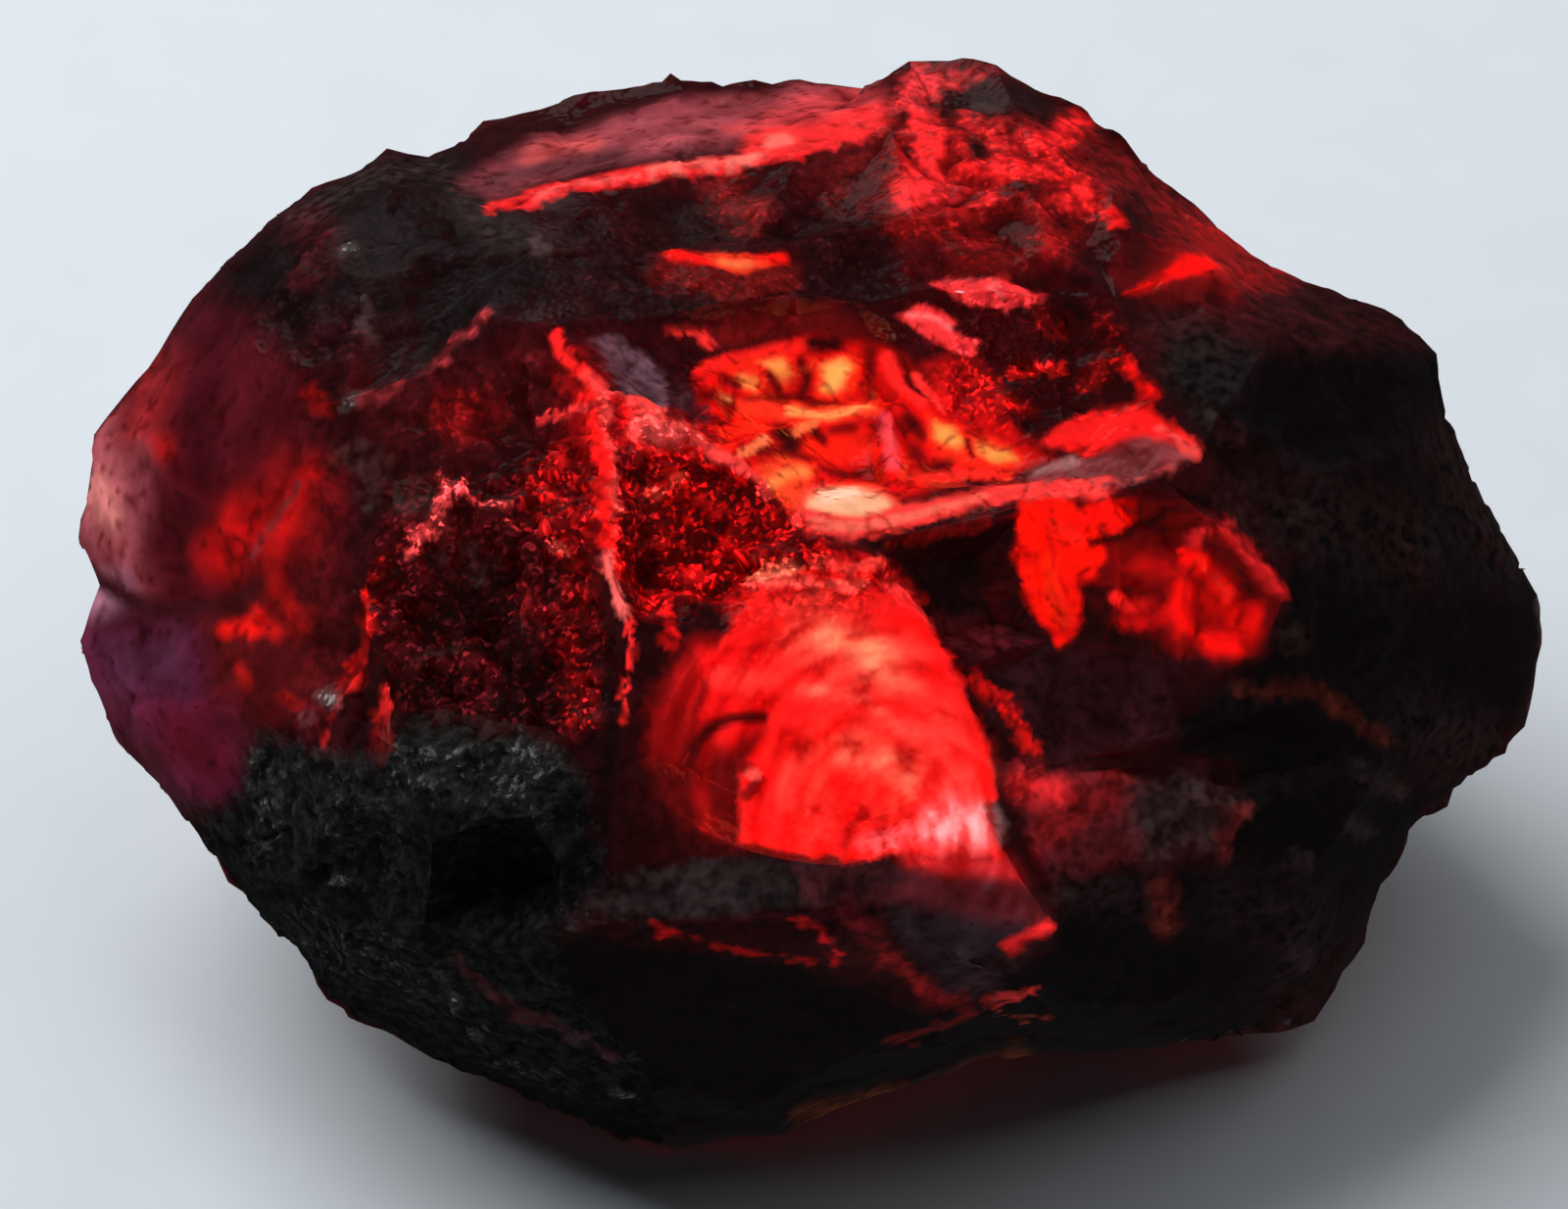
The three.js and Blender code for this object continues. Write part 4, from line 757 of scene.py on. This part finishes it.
def paint_crust(b):
    """The weathered crust at the lower left, grey-green with dust, round a black cavity. Its painted light is
    taken off, but for two faint threads.
    """
    b.patch("crust", 1.0,
            "-5.3,-1.2 -4.7,-1.4 -4.1,-1.5 -3.9,-1.0 -3.2,-1.1 -2.5,-1.2 -1.95,-1.6 -1.7,-2.7 -1.9,-3.05 "
            "-2.3,-3.3 -2.0,-4.0 -1.4,-4.6 -1.2,-5.5 -2.2,-5.9 -4.5,-4.8 -6.3,-2.6 -6.2,-2.0 -5.6,-2.0", 0.15)
    b.pool(0, 0, 0, "-5.3,-1.3 -4.7,-1.5 -4.1,-1.6 -3.9,-1.1 -3.2,-1.2 -2.5,-1.3 -1.95,-1.7 -1.7,-2.7 "
            "-2.3,-3.3 -2.0,-4.0 -1.4,-4.6 -1.2,-5.5 -2.2,-5.9 -4.5,-4.8 -6.4,-2.6 -5.6,-2.0", 0.15)
    b.stroke("soot", 0.95, 0.9, "-4.8,-1.35 -4.1,-1.35 -3.6,-0.95 -2.6,-1.0 -1.95,-1.4 -1.7,-2.2", 1.0)
    b.stroke("dust_and_sheen", 0.42, 0.4, "-3.7,-1.65 -3.2,-1.7 -2.7,-1.6 -2.5,-1.5", 0.9)
    b.stroke("dust_and_sheen", 0.3, 0.2, "-3.1,-1.85 -2.6,-1.95 -2.3,-2.1", 0.9)
    b.stroke("dust_and_sheen", 0.12, 0.8, "-4.6,-1.9 -4.2,-2.3 -4.0,-2.5", 1.0)
    b.stroke("dust_and_sheen", 0.2, 0.3, "-5.4,-1.5 -5.2,-1.9 -5.3,-2.6", 1.0)
    b.stroke("dust_and_sheen", 0.14, 0.5, "-4.8,-3.3 -4.2,-3.6 -3.6,-3.9", 1.0)
    b.stroke("dust_and_sheen", 0.4, 0.12, "-4.0,-3.42 -3.8,-3.46", 0.7)
    b.stroke("dust_and_sheen", 0.15, 0.2, "-3.0,-4.6 -2.2,-4.9", 1.0)
    b.painted_light_stroke(50, 20, 22, 0.1, "-3.3,-3.6 -2.9,-3.95 -2.5,-4.15", 0.8)
    b.painted_light_stroke(40, 20, 24, 0.09, "-2.4,-4.15 -2.0,-4.4 -1.75,-4.55", 0.8)
    for place in ("-4.52,-2.72 -4.45,-2.78", "-2.87,-2.9 -2.83,-2.93", "-3.35,-4.03 -3.28,-4.06",
                  "-3.13,-4.33 -3.08,-4.36", "-5.2,-1.9 -5.18,-1.93", "-1.66,-4.9 -1.62,-4.91"):
        b.stroke("dust_and_sheen", 1.3, 0.11, place, 0.5)
    # No dust in and round the cavity, so that a round dark patch shows there: painted shade in the hollow.
    b.patch("dust_and_sheen", 0.0,
            "-3.6,-2.2 -3.1,-1.95 -2.5,-2.0 -2.1,-2.4 -2.1,-3.1 -2.9,-3.6 -3.6,-3.3 -3.8,-2.7", 0.25)
    b.stroke("dust_and_sheen", 1.3, 0.1, "-2.87,-2.9 -2.83,-2.93", 0.5)


def paint_lower_facets(b):
    """The grey facet under the shell break, its grey a painted sheen, the cracks below it and the facets down
    to the rim, picked out in painted light.
    """
    # The grey facet: a painted sheen, laid as grey painted light and grey dust.
    b.pool(27, 21, 22, "-1.9,-3.0 -1.6,-2.7 -0.9,-2.55 -0.3,-2.5 0.4,-2.6 1.0,-2.55 1.2,-2.75 0.5,-2.95 "
            "-0.5,-3.05 -1.5,-3.1", 0.06)
    b.patch("soot", 1.3,
            "-2.0,-2.9 -1.6,-2.65 -0.3,-2.55 1.1,-2.65 1.9,-2.9 2.3,-3.4 1.7,-3.9 0.9,-3.3 -1.9,-3.3", 0.1)
    b.patch("dust_and_sheen", 0.4,
            "-1.9,-3.0 -1.6,-2.7 -0.9,-2.55 -0.3,-2.5 0.1,-2.6 0.0,-2.85 -0.6,-3.02 -1.5,-3.1", 0.08)
    b.pool(52, 22, 25, "0.1,-2.6 0.4,-2.6 1.0,-2.55 1.2,-2.7 0.9,-2.95 0.2,-2.95", 0.08)
    b.stroke("dust_and_sheen", 0.6, 0.06, "-2.3,-3.12 -1.9,-3.1 -1.5,-3.09", 0.5)
    b.pool(30, 5, 7, "-1.4,-3.12 0.5,-3.05 0.9,-3.1 1.1,-3.6 0.4,-3.52 -0.6,-3.48 -1.1,-3.35", 0.06)
    b.painted_light_stroke(150, 20, 24, 0.05, "-1.38,-3.15 -1.2,-3.25 -1.0,-3.33 -0.6,-3.43 0.0,-3.48 0.55,-3.53", 0.5)
    b.painted_light_stroke(150, 22, 27, 0.05, "0.05,-3.1 0.3,-3.17 0.42,-3.32 0.55,-3.48", 0.5)
    b.painted_light_stroke(66, 13, 17, 0.2, "0.6,-3.0 0.8,-3.2 1.0,-3.6", 0.8)
    b.painted_light_stroke(112, 26, 28, 0.13, "1.0,-3.5 1.4,-3.85 1.8,-3.95", 0.8)
    b.painted_light_stroke(78, 14, 17, 0.12, "1.1,-4.4 1.5,-4.25 1.85,-4.1", 0.8)
    b.painted_light_stroke(212, 44, 46, 0.13, "2.22,-3.4 2.62,-3.2", 0.4)
    b.painted_light_stroke(150, 42, 42, 0.06, "2.05,-4.03 2.25,-3.95 2.45,-3.84", 0.5)
    b.painted_light_stroke(90, 36, 28, 0.05, "2.2,-4.13 2.7,-4.15", 0.5)
    b.painted_light_stroke(58, 26, 14, 0.22, "0.2,-5.2 0.9,-5.1 1.6,-4.95 2.4,-4.6", 0.9)
    b.pool(66, 20, 24,
           "2.15,-1.6 2.9,-1.58 3.6,-1.8 4.3,-1.9 4.5,-2.0 4.2,-2.4 3.6,-2.55 2.9,-2.75 2.5,-2.55", 0.08)
    b.painted_light_stroke(190, 40, 44, 0.3, "2.4,-1.8 2.75,-1.9", 0.9)
    b.painted_light_stroke(112, 24, 28, 0.3, "2.6,-2.3 3.0,-2.0 3.3,-1.85", 1.0)
    # A dull grey painted sheen, laid as grey dust and grey painted light.
    b.patch("dust_and_sheen", 0.25, "3.4,-1.85 4.0,-1.75 4.5,-1.95 4.2,-2.4 3.6,-2.55 3.4,-2.3", 0.15)
    b.pool(34, 27, 28, "3.4,-1.85 4.0,-1.75 4.5,-1.95 4.2,-2.4 3.6,-2.55 3.5,-2.2", 0.15)
    b.stroke("dust_and_sheen", 1.0, 0.09, "3.5,-2.53 3.6,-2.55", 0.5)
    b.painted_light_stroke(82, 30, 30, 0.14, "4.55,-2.05 4.4,-2.3 4.35,-2.5", 0.8)
    b.painted_light_stroke(72, 26, 22, 0.24, "3.8,-2.8 3.8,-3.2", 0.8)
    b.stroke("dust_and_sheen", 0.3, 0.3, "2.7,-2.85 3.2,-2.95 3.6,-2.95", 1.0)


def paint_right_mass(b):
    """The black right end: grey dust that stands in for a dull sheen, a few chips and one brown thread of
    painted light.
    """
    b.painted_light_stroke(52, 20, 14, 0.13, "4.5,-0.87 5.0,-0.85 5.4,-0.87 5.7,-1.1 6.1,-1.4", 0.8)
    # Grey dust that stands in for a dull sheen on the black end.
    b.stroke("dust_and_sheen", 0.16, 0.8, "4.6,1.0 5.6,0.8 6.4,0.6", 1.0)
    b.stroke("dust_and_sheen", 0.2, 0.7, "6.9,1.6 7.4,0.6", 1.0)
    b.stroke("dust_and_sheen", 0.18, 0.7, "6.4,-1.2 7.1,-1.5", 1.0)
    b.stroke("dust_and_sheen", 0.14, 0.8, "4.6,-3.0 5.4,-3.3 5.2,-4.0", 1.0)
    for place in ("5.05,-0.35 5.18,-0.38", "5.85,-1.7 5.95,-1.78", "6.15,-1.85 6.25,-1.9",
                  "5.75,-2.25 5.9,-2.3", "5.15,-2.55 5.25,-2.6", "5.2,-3.55 5.3,-3.57"):
        b.stroke("dust_and_sheen", 0.55, 0.2, place, 0.8)


def cloudy(points, scale, offset):
    """Large soft clouds over the stone, about 0."""
    places = (Vector(p) * scale + Vector(offset) for p in points)
    return np.array([noise.fractal(place, OCTAVE_FADE, OCTAVE_STEP, 3) for place in places])


def paint_rear(b):
    """The sides and the underside: dark red glass in faint painted light, fading out low down and dimmer at
    the right end, with splintered and blackened stretches.
    """
    rear = 1 - b.front
    broken = cloudy(b.points, 0.42, (3, 8, 2))
    stained = cloudy(b.points, 0.5, (9, 1, 5))
    b.lay("painted_light", tone(44, 4, 7), rear)
    height = off_face(b.points)[:, 2]
    # The painted light fades out towards the bottom.
    b.lay("painted_light", tone(13, 3, 4), rear * (1 - smooth(height, 0.4, 2.6)))
    right_end = rear * smooth(b.points[:, 0], 2.5, 5.0)
    b.lay("painted_light", tone(16, 4, 5), right_end)
    b.lay("grain", 0.7, rear * smooth(broken, 0.0, 0.25))
    b.lay("soot", 0.8, rear * smooth(stained, 0.02, 0.3))
    b.lay("dust_and_sheen", 0.3, rear * smooth(-stained, 0.2, 0.5))
    b.lay("soot", 1.0, 0.8 * right_end)


def paint_all(brush):
    for paint in (paint_ground, paint_left_lobes, paint_knob, paint_brow, paint_lip, paint_shoulder,
                  paint_right_facet, paint_basin, paint_flake, paint_wedge, paint_windows, paint_threshold,
                  paint_splinters, paint_bent_ridge, paint_shell_break, paint_ledge, paint_crust,
                  paint_lower_facets, paint_right_mass, paint_rear):
        paint(brush)
    # The painted light in soft clouds, dimmed along fissures and run in streaks on the shell break.
    clouds = np.array([noise.fractal(Vector(p) * 1.9, SOFT_FADE, OCTAVE_STEP, 4) for p in brush.points])
    dim(brush.painted_light, np.clip(1 + 0.5 * clouds, 0.4, 1.5))
    fissures = np.array([abs(noise.noise(Vector(p) * 2.6)) for p in brush.points])
    cracked = 0.6 * (1 - brush.arcs) * (1 - smooth(fissures, 0.0, 0.07))
    dim(brush.painted_light, 1 - cracked)
    streaks = np.array([ring_tone(Vector(p)) for p in brush.points]) * brush.arcs
    dim(brush.painted_light, np.clip(1 + 0.5 * streaks, 0.35, 1.5))
    brush.painted_light[:, 1:] *= np.clip(1 - 0.3 * brush.arcs + 0.9 * streaks, 0.3, 2)[:, None]
    red = np.maximum(brush.painted_light[:, :1], 0.0001)
    brush.painted_light[:, 1:] *= 0.6 + 0.4 * np.clip(brush.painted_light[:, 1:] / red / 0.3, 0, 1)


def shade(brush, bm):
    """Lets the painted light follow the relief, as painted highlight and shade: crests and facets turned to
    it are bright, clefts are dark."""
    points, normals = as_arrays(bm)
    ends = np.array([[v.index for v in e.verts] for e in bm.edges])
    level = points.copy()
    for _ in range(6):
        total, count = np.zeros_like(level), np.zeros(len(points))
        for here, there in (ends.T, ends.T[::-1]):
            np.add.at(total, here, level[there])
            np.add.at(count, here, 1)
        level = total / count[:, None]
    height = ((points - level) * normals).sum(1)
    # Painted highlight on crests, painted shade in clefts, and more painted light on facets turned its way.
    crest = np.clip(1 + height / CREST, 0.25, 1.7)
    turned = (normals @ face_axes().T) @ PAINTED_LIGHT_FROM
    facing = 0.62 + 0.62 * smooth(turned, 0.1, 0.95)
    soft = 1 - np.maximum(0.75 * brush.arcs, 0.4 * brush.calm)
    dim(brush.painted_light, 1 + (crest * facing - 1) * soft)
    brush.painted_light *= (1 + 0.25 * smooth(brush.painted_light.max(axis=1), 0.2, 0.7))[:, None]
    brush.painted_light /= np.maximum(1, brush.painted_light.max(axis=1))[:, None]


# ---------------------------------------------------------------- the crystal


def fineness(edge):
    """The longest edge allowed: shortest in the bright heart of the face, longest at the back."""
    right, up, out = face_axes()
    vert = edge.verts[0]
    if vert.normal.dot(Vector(out)) < -0.1:
        return REAR_EDGE
    place = vert.co - Vector(FACE_ORIGIN)
    across = (place.dot(Vector(right)) - HEART_MIDDLE[0]) / HEART_REACH[0]
    along = (place.dot(Vector(up)) - HEART_MIDDLE[1]) / HEART_REACH[1]
    return HEART_EDGE if math.hypot(across, along) < 1 else FACE_EDGE


def crystal():
    """The crystal's visible skin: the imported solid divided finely, broken up and painted."""
    bm = bmesh.new()
    bm.from_mesh(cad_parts["painite_crystal"].data)
    bmesh.ops.scale(bm, vec=Vector((1, 1, 1)) / MM, verts=bm.verts)
    bmesh.ops.remove_doubles(bm, verts=bm.verts, dist=0.0005)
    divide(bm, lambda e: COARSE_EDGE)
    relax(bm, 2)
    divide(bm, fineness)
    bm.normal_update()

    points, normals = as_arrays(bm)
    face_points = onto_face(points)
    face_normals = normals @ face_axes().T
    brush = Brush(face_points, face_normals)
    paint_all(brush)
    moved = off_face(roughen(face_points, face_normals, brush))
    low, high = (np.array(corner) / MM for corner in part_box("painite_crystal"))
    moved = np.clip(moved, low, high)
    for vert, place in zip(bm.verts, moved):
        vert.co = place
    bm.normal_update()
    shade(brush, bm)
    for face in bm.faces:
        face.smooth = True
    for edge in bm.edges:
        edge.smooth = edge.calc_face_angle(0) < CREASE_ANGLE
    bmesh.ops.scale(bm, vec=Vector((1, 1, 1)) * MM, verts=bm.verts)

    crusted = brush.crust + (brush.dust_and_sheen > 0.95)
    for face in bm.faces:
        face.material_index = int(sum(crusted[v.index] for v in face.verts) > 1.5)

    mesh = bpy.data.meshes.new("crystal_skin")
    bm.to_mesh(mesh)
    bm.free()
    mesh.attributes.remove(mesh.attributes["custom_normal"])
    store(mesh, "face_place", face_points)
    store(mesh, "painted_light", brush.painted_light)
    for layer in ("soot", "grain", "arcs", "dust_and_sheen", "spark", "calm"):
        store(mesh, layer, getattr(brush, layer))
    piece = bpy.data.objects.new("crystal_skin", mesh)
    bpy.context.scene.collection.objects.link(piece)
    mesh.materials.append(red_crystal())
    mesh.materials.append(weathered_crust())
    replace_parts(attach(piece, "root"), "painite_crystal")


def store(mesh, name, values):
    """Keeps one painted layer on the mesh's points."""
    kind, field = ("FLOAT_VECTOR", "vector") if values.ndim == 2 else ("FLOAT", "value")
    layer = mesh.attributes.new(name, kind, "POINT")
    layer.data.foreach_set(field, values.astype(np.float32).ravel())


# ---------------------------------------------------------------- shader building


class Wiring:
    """Short words for adding and joining nodes in one tree."""

    def __init__(self, tree):
        self.tree = tree

    def node(self, kind, inputs=None, **settings):
        made = self.tree.nodes.new(kind)
        for name, value in settings.items():
            setattr(made, name, value)
        for name, value in (inputs or {}).items():
            self.give(made.inputs[name], value)
        return made

    def give(self, socket, value):
        if isinstance(value, bpy.types.NodeSocket):
            self.tree.links.new(value, socket)
        else:
            socket.default_value = value

    def maths(self, operation, a, b, clamp=False):
        return self.node("ShaderNodeMath", {0: a, 1: b}, operation=operation, use_clamp=clamp).outputs[0]

    def blend(self, factor, a, b):
        return self.node("ShaderNodeMix", {0: factor, 2: a, 3: b}).outputs[0]

    def blend_colour(self, factor, a, b):
        return self.node("ShaderNodeMix", {0: factor, 6: a, 7: b}, data_type="RGBA").outputs[2]

    def remap(self, value, low, high, to_low=0.0, to_high=1.0):
        inputs = {"Value": value, "From Min": low, "From Max": high, "To Min": to_low, "To Max": to_high}
        return self.node("ShaderNodeMapRange", inputs, interpolation_type="SMOOTHSTEP").outputs[0]

    def painted(self, layer, output="Fac"):
        """A layer that was painted on the mesh."""
        return self.node("ShaderNodeAttribute", attribute_name=layer).outputs[output]

    def noise(self, place, scale, detail, roughness):
        inputs = {"Vector": place, "Scale": scale, "Detail": detail, "Roughness": roughness}
        return self.node("ShaderNodeTexNoise", inputs).outputs["Fac"]


def group(name, inputs, outputs):
    """A shader node group with named sockets. Returns its wiring, what comes in and where it goes out."""
    tree = bpy.data.node_groups.new(name, "ShaderNodeTree")
    for label, kind, value in inputs:
        socket = tree.interface.new_socket(label, in_out="INPUT", socket_type=kind)
        if value is not None:
            socket.default_value = value
    for label, kind in outputs:
        tree.interface.new_socket(label, in_out="OUTPUT", socket_type=kind)
    wiring = Wiring(tree)
    return wiring, wiring.node("NodeGroupInput").outputs, wiring.node("NodeGroupOutput").inputs


def splinter_grain():
    """Angular grains that sparkle one by one, as painted light on the crystal and as pale chips on the rind.
    """
    inputs = [("Place", "NodeSocketVector", None), ("Size", "NodeSocketFloat", 0.1)]
    outputs = [("Height", "NodeSocketFloat"), ("Sparkle", "NodeSocketFloat")]
    w, come, go = group("splinter grain", inputs, outputs)
    scale = w.maths("DIVIDE", 1.0, come["Size"])
    cells = w.node("ShaderNodeTexVoronoi", {"Vector": come["Place"], "Scale": scale, "Randomness": 1.0})
    steepness = w.node("ShaderNodeSeparateColor", {"Color": cells.outputs["Color"]}).outputs[1]
    w.give(go["Height"], w.maths("MULTIPLY", cells.outputs["Distance"], steepness))
    turn = {"Vector": come["Place"], "Axis": (1.0, 2.0, 3.0), "Angle": 1.1}
    turned = w.node("ShaderNodeVectorRotate", turn).outputs[0]
    grain = w.node("ShaderNodeVectorMath", {0: turned, 1: come["Size"]}, operation="SNAP").outputs[0]
    chance = w.node("ShaderNodeTexWhiteNoise", {"Vector": grain}).outputs["Value"]
    w.give(go["Sparkle"], w.maths("POWER", chance, SPARKLE_RARITY))
    return w.tree


def broken_edge():
    """Turns a soft painted layer into one with a ragged, crumbled edge."""
    starts = {"Layer": 0.0, "Crumbs": 0.5, "Ragged": 0.6}
    inputs = [(label, "NodeSocketFloat", value) for label, value in starts.items()]
    w, come, go = group("broken edge", inputs, [("Layer", "NodeSocketFloat")])
    centred = w.maths("MULTIPLY", w.maths("SUBTRACT", come["Crumbs"], 0.5), come["Ragged"])
    reach = w.maths("MULTIPLY", centred, w.remap(come["Layer"], 0.0, 0.25))
    w.give(go["Layer"], w.maths("ADD", come["Layer"], w.maths("MULTIPLY", reach, 2.0), clamp=True))
    return w.tree


def placed(w, tree, inputs):
    """Puts a node group into a material with its own values."""
    made = w.node("ShaderNodeGroup", node_tree=tree)
    for name, value in inputs.items():
        w.give(made.inputs[name], value)
    return made.outputs


def red_crystal():
    """Deep red see-through crystal, with painted light as emission where the painted layers say so."""
    material = bpy.data.materials.new("red_crystal")
    material.use_nodes = True
    material.cycles.emission_sampling = "NONE"
    tree = material.node_tree
    w = Wiring(tree)
    glass = tree.nodes["Principled BSDF"]
    end = tree.nodes["Material Output"]

    place = w.painted("face_place", "Vector")
    painted_light = w.painted("painted_light", "Vector")
    soot, grain, arc, dust_and_sheen = (w.painted(layer) for layer in ("soot", "grain", "arcs", "dust_and_sheen"))
    crumbs = w.noise(place, scale=7.0, detail=1.0, roughness=0.65)
    bent = w.node("ShaderNodeVectorMath", {0: place, 1: w.maths("MULTIPLY", crumbs, 0.12)}).outputs[0]
    grains = placed(w, GROUPS["splinter grain"], {"Place": bent, "Size": 0.045})
    ragged = GROUPS["broken edge"]
    dust_and_sheen_cover = placed(w, ragged, {"Layer": dust_and_sheen, "Crumbs": crumbs, "Ragged": 0.7})["Layer"]
    sooty = placed(w, ragged, {"Layer": soot, "Crumbs": crumbs, "Ragged": 0.4})["Layer"]

    # Painted light, as emission, broken up by grains and rings.
    sparkle = w.maths("ADD", w.maths("MULTIPLY", grains["Sparkle"], SPARKLE_GAIN), w.painted("spark"))
    strong, faint = w.remap(crumbs, 0.3, 0.65, 0.5, 1.25), w.remap(crumbs, 0.3, 0.65, 0.9, 1.05)
    mottled = w.blend(arc, w.blend(w.painted("calm"), strong, faint), 1.0)
    lit = w.maths("MULTIPLY", w.blend(grain, 1.0, w.maths("ADD", sparkle, 0.2)), mottled)
    painted_light_shown = w.node("ShaderNodeVectorMath", {0: painted_light, 3: lit}, operation="SCALE").outputs[0]
    w.give(glass.inputs["Emission Color"], painted_light_shown)

    # Body colour: clear, blackened, or under grey dust, which in places stands in for a painted sheen.
    body = w.blend_colour(sooty, DEEP_RED, BLACK_GLASS)
    dust = w.blend_colour(crumbs, GREY_DUST_AND_SHEEN, WHITE_DUST_AND_SHEEN)
    w.give(glass.inputs["Base Color"], w.blend_colour(dust_and_sheen_cover, body, dust))

    rough = w.blend(sooty, CLEAN, SOOTY)
    rough = w.blend(grain, rough, SPLINTERED)
    rough = w.blend(dust_and_sheen_cover, rough, DUSTY)
    w.give(glass.inputs["Roughness"], w.maths("ADD", rough, w.maths("MULTIPLY", crumbs, 0.1), clamp=True))

    pits = w.noise(place, scale=14.0, detail=0.0, roughness=0.5)
    bump = w.node("ShaderNodeBump", {"Height": pits, "Strength": 0.35, "Distance": BUMP_DEPTH * MM})
    w.give(glass.inputs["Normal"], bump.outputs["Normal"])

    glass.inputs["Transmission Weight"].default_value = TRANSMISSION
    glass.inputs["IOR"].default_value = REFRACTIVE_INDEX
    glass.inputs["Emission Strength"].default_value = 1.0
    inside = {"Color": LIGHT_LET_THROUGH, "Density": ABSORPTION_PER_METRE}
    w.give(end.inputs["Volume"], w.node("ShaderNodeVolumeAbsorption", inside).outputs[0])
    return material


def weathered_crust():
    """Dull black-green rind with pale dust in it, and the pale chips that stick to the crystal."""
    material = bpy.data.materials.new("weathered_crust")
    material.use_nodes = True
    w = Wiring(material.node_tree)
    rind = material.node_tree.nodes["Principled BSDF"]
    place = w.painted("face_place", "Vector")
    crumbs = w.noise(place, scale=6.0, detail=3.0, roughness=0.68)
    edge = {"Layer": w.painted("dust_and_sheen"), "Crumbs": crumbs, "Ragged": 1.0}
    dust = placed(w, GROUPS["broken edge"], edge)["Layer"]
    bent = w.node("ShaderNodeVectorMath", {0: place, 1: w.maths("MULTIPLY", crumbs, 0.25)}).outputs[0]
    grains = placed(w, GROUPS["splinter grain"], {"Place": bent, "Size": 0.05})
    body = w.blend_colour(w.remap(crumbs, 0.35, 0.8), RIND_CLEFT, RIND_CREST)
    pale = w.blend_colour(grains["Sparkle"], DULL_CHIP, PALE_CHIP)
    w.give(rind.inputs["Base Color"], w.blend_colour(dust, body, pale))
    # Painted light on the rind, from the same painted layer as on the crystal.
    w.give(rind.inputs["Emission Color"], w.painted("painted_light", "Vector"))
    w.give(rind.inputs["Roughness"], w.remap(crumbs, 0.3, 0.7, 0.5, 0.8))
    height = w.maths("ADD", w.maths("MULTIPLY", crumbs, 2.0), grains["Height"])
    bump = w.node("ShaderNodeBump", {"Height": height, "Strength": 0.6, "Distance": BUMP_DEPTH * MM})
    w.give(rind.inputs["Normal"], bump.outputs["Normal"])
    rind.inputs["Emission Strength"].default_value = 1.0
    material.cycles.emission_sampling = "NONE"
    return material


# ---------------------------------------------------------------- stage, light and camera


def floor():
    """A plain pale table top."""
    size = 400 * MM
    mesh = bpy.data.meshes.new("table_top")
    corners = [(-size, -size, 0), (size, -size, 0), (size, size, 0), (-size, size, 0)]
    mesh.from_pydata(corners, [], [(0, 1, 2, 3)])
    top = bpy.data.objects.new("table_top", mesh)
    bpy.context.scene.collection.objects.link(top)
    material = bpy.data.materials.new("pale_paper")
    material.use_nodes = True
    w = Wiring(material.node_tree)
    paper = material.node_tree.nodes["Principled BSDF"]
    place = w.node("ShaderNodeTexCoord").outputs["Object"]
    fibre = w.noise(place, scale=900.0, detail=1.0, roughness=0.6)
    w.give(paper.inputs["Base Color"], w.blend_colour(fibre, PAPER_SHADE, PAPER_LIGHT))
    w.give(paper.inputs["Roughness"], w.maths("ADD", w.maths("MULTIPLY", fibre, 0.1), 0.85))
    mesh.materials.append(material)
    top.visible_glossy = False


def lamp(name, place, size, power, mirrored):
    """A soft square lamp that looks at the stone. Place and size are in millimetres. Only a mirrored one
    shows in the stone's gloss."""
    light = bpy.data.lights.new(name, "AREA")
    light.shape = "SQUARE"
    light.size = size * MM
    light.energy = power
    holder = bpy.data.objects.new(name, light)
    bpy.context.scene.collection.objects.link(holder)
    holder.location = Vector(place) * MM
    holder.rotation_euler = (Vector((0, 0, 4)) - Vector(place)).to_track_quat("-Z", "Y").to_euler()
    holder.visible_camera = False
    holder.visible_transmission = False
    holder.visible_glossy = mirrored


def studio():
    """A dim pale room, a wide lamp at the upper left, a fill at the right and a faint lamp behind."""
    world = bpy.data.worlds.new("dim_room")
    world.use_nodes = True
    air = world.node_tree.nodes["Background"]
    air.inputs["Color"].default_value = (0.93, 0.96, 1.0, 1.0)
    air.inputs["Strength"].default_value = 0.02
    bpy.context.scene.world = world
    lamp("window_lamp", place=(-70, 60, 120), size=120, power=0.25, mirrored=False)
    lamp("fill_lamp", place=(60, 40, 150), size=170, power=0.065, mirrored=False)
    lamp("rear_lamp", place=(-40, 120, 70), size=70, power=0.003, mirrored=True)
    bpy.context.scene.view_settings.view_transform = "Standard"


def camera():
    """Looks straight onto the broken face."""
    lens = bpy.data.cameras.new("view")
    lens.sensor_width = SENSOR_WIDTH
    lens.lens = SENSOR_WIDTH * VIEW_DISTANCE / VIEW_WIDTH
    lens.clip_start = 1 * MM
    lens.clip_end = 2000 * MM
    holder = bpy.data.objects.new("view", lens)
    bpy.context.scene.collection.objects.link(holder)
    target = Vector(FACE_ORIGIN) * MM
    outward = Vector(face_axes()[2])
    holder.location = target + outward * VIEW_DISTANCE * MM
    holder.rotation_euler = (-outward).to_track_quat("-Z", "Y").to_euler()
    bpy.context.scene.camera = holder


GROUPS = {tree.name: tree for tree in (splinter_grain(), broken_edge())}
noise.seed_set(DRIFT_SEED)
camera()
studio()
floor()
crystal()
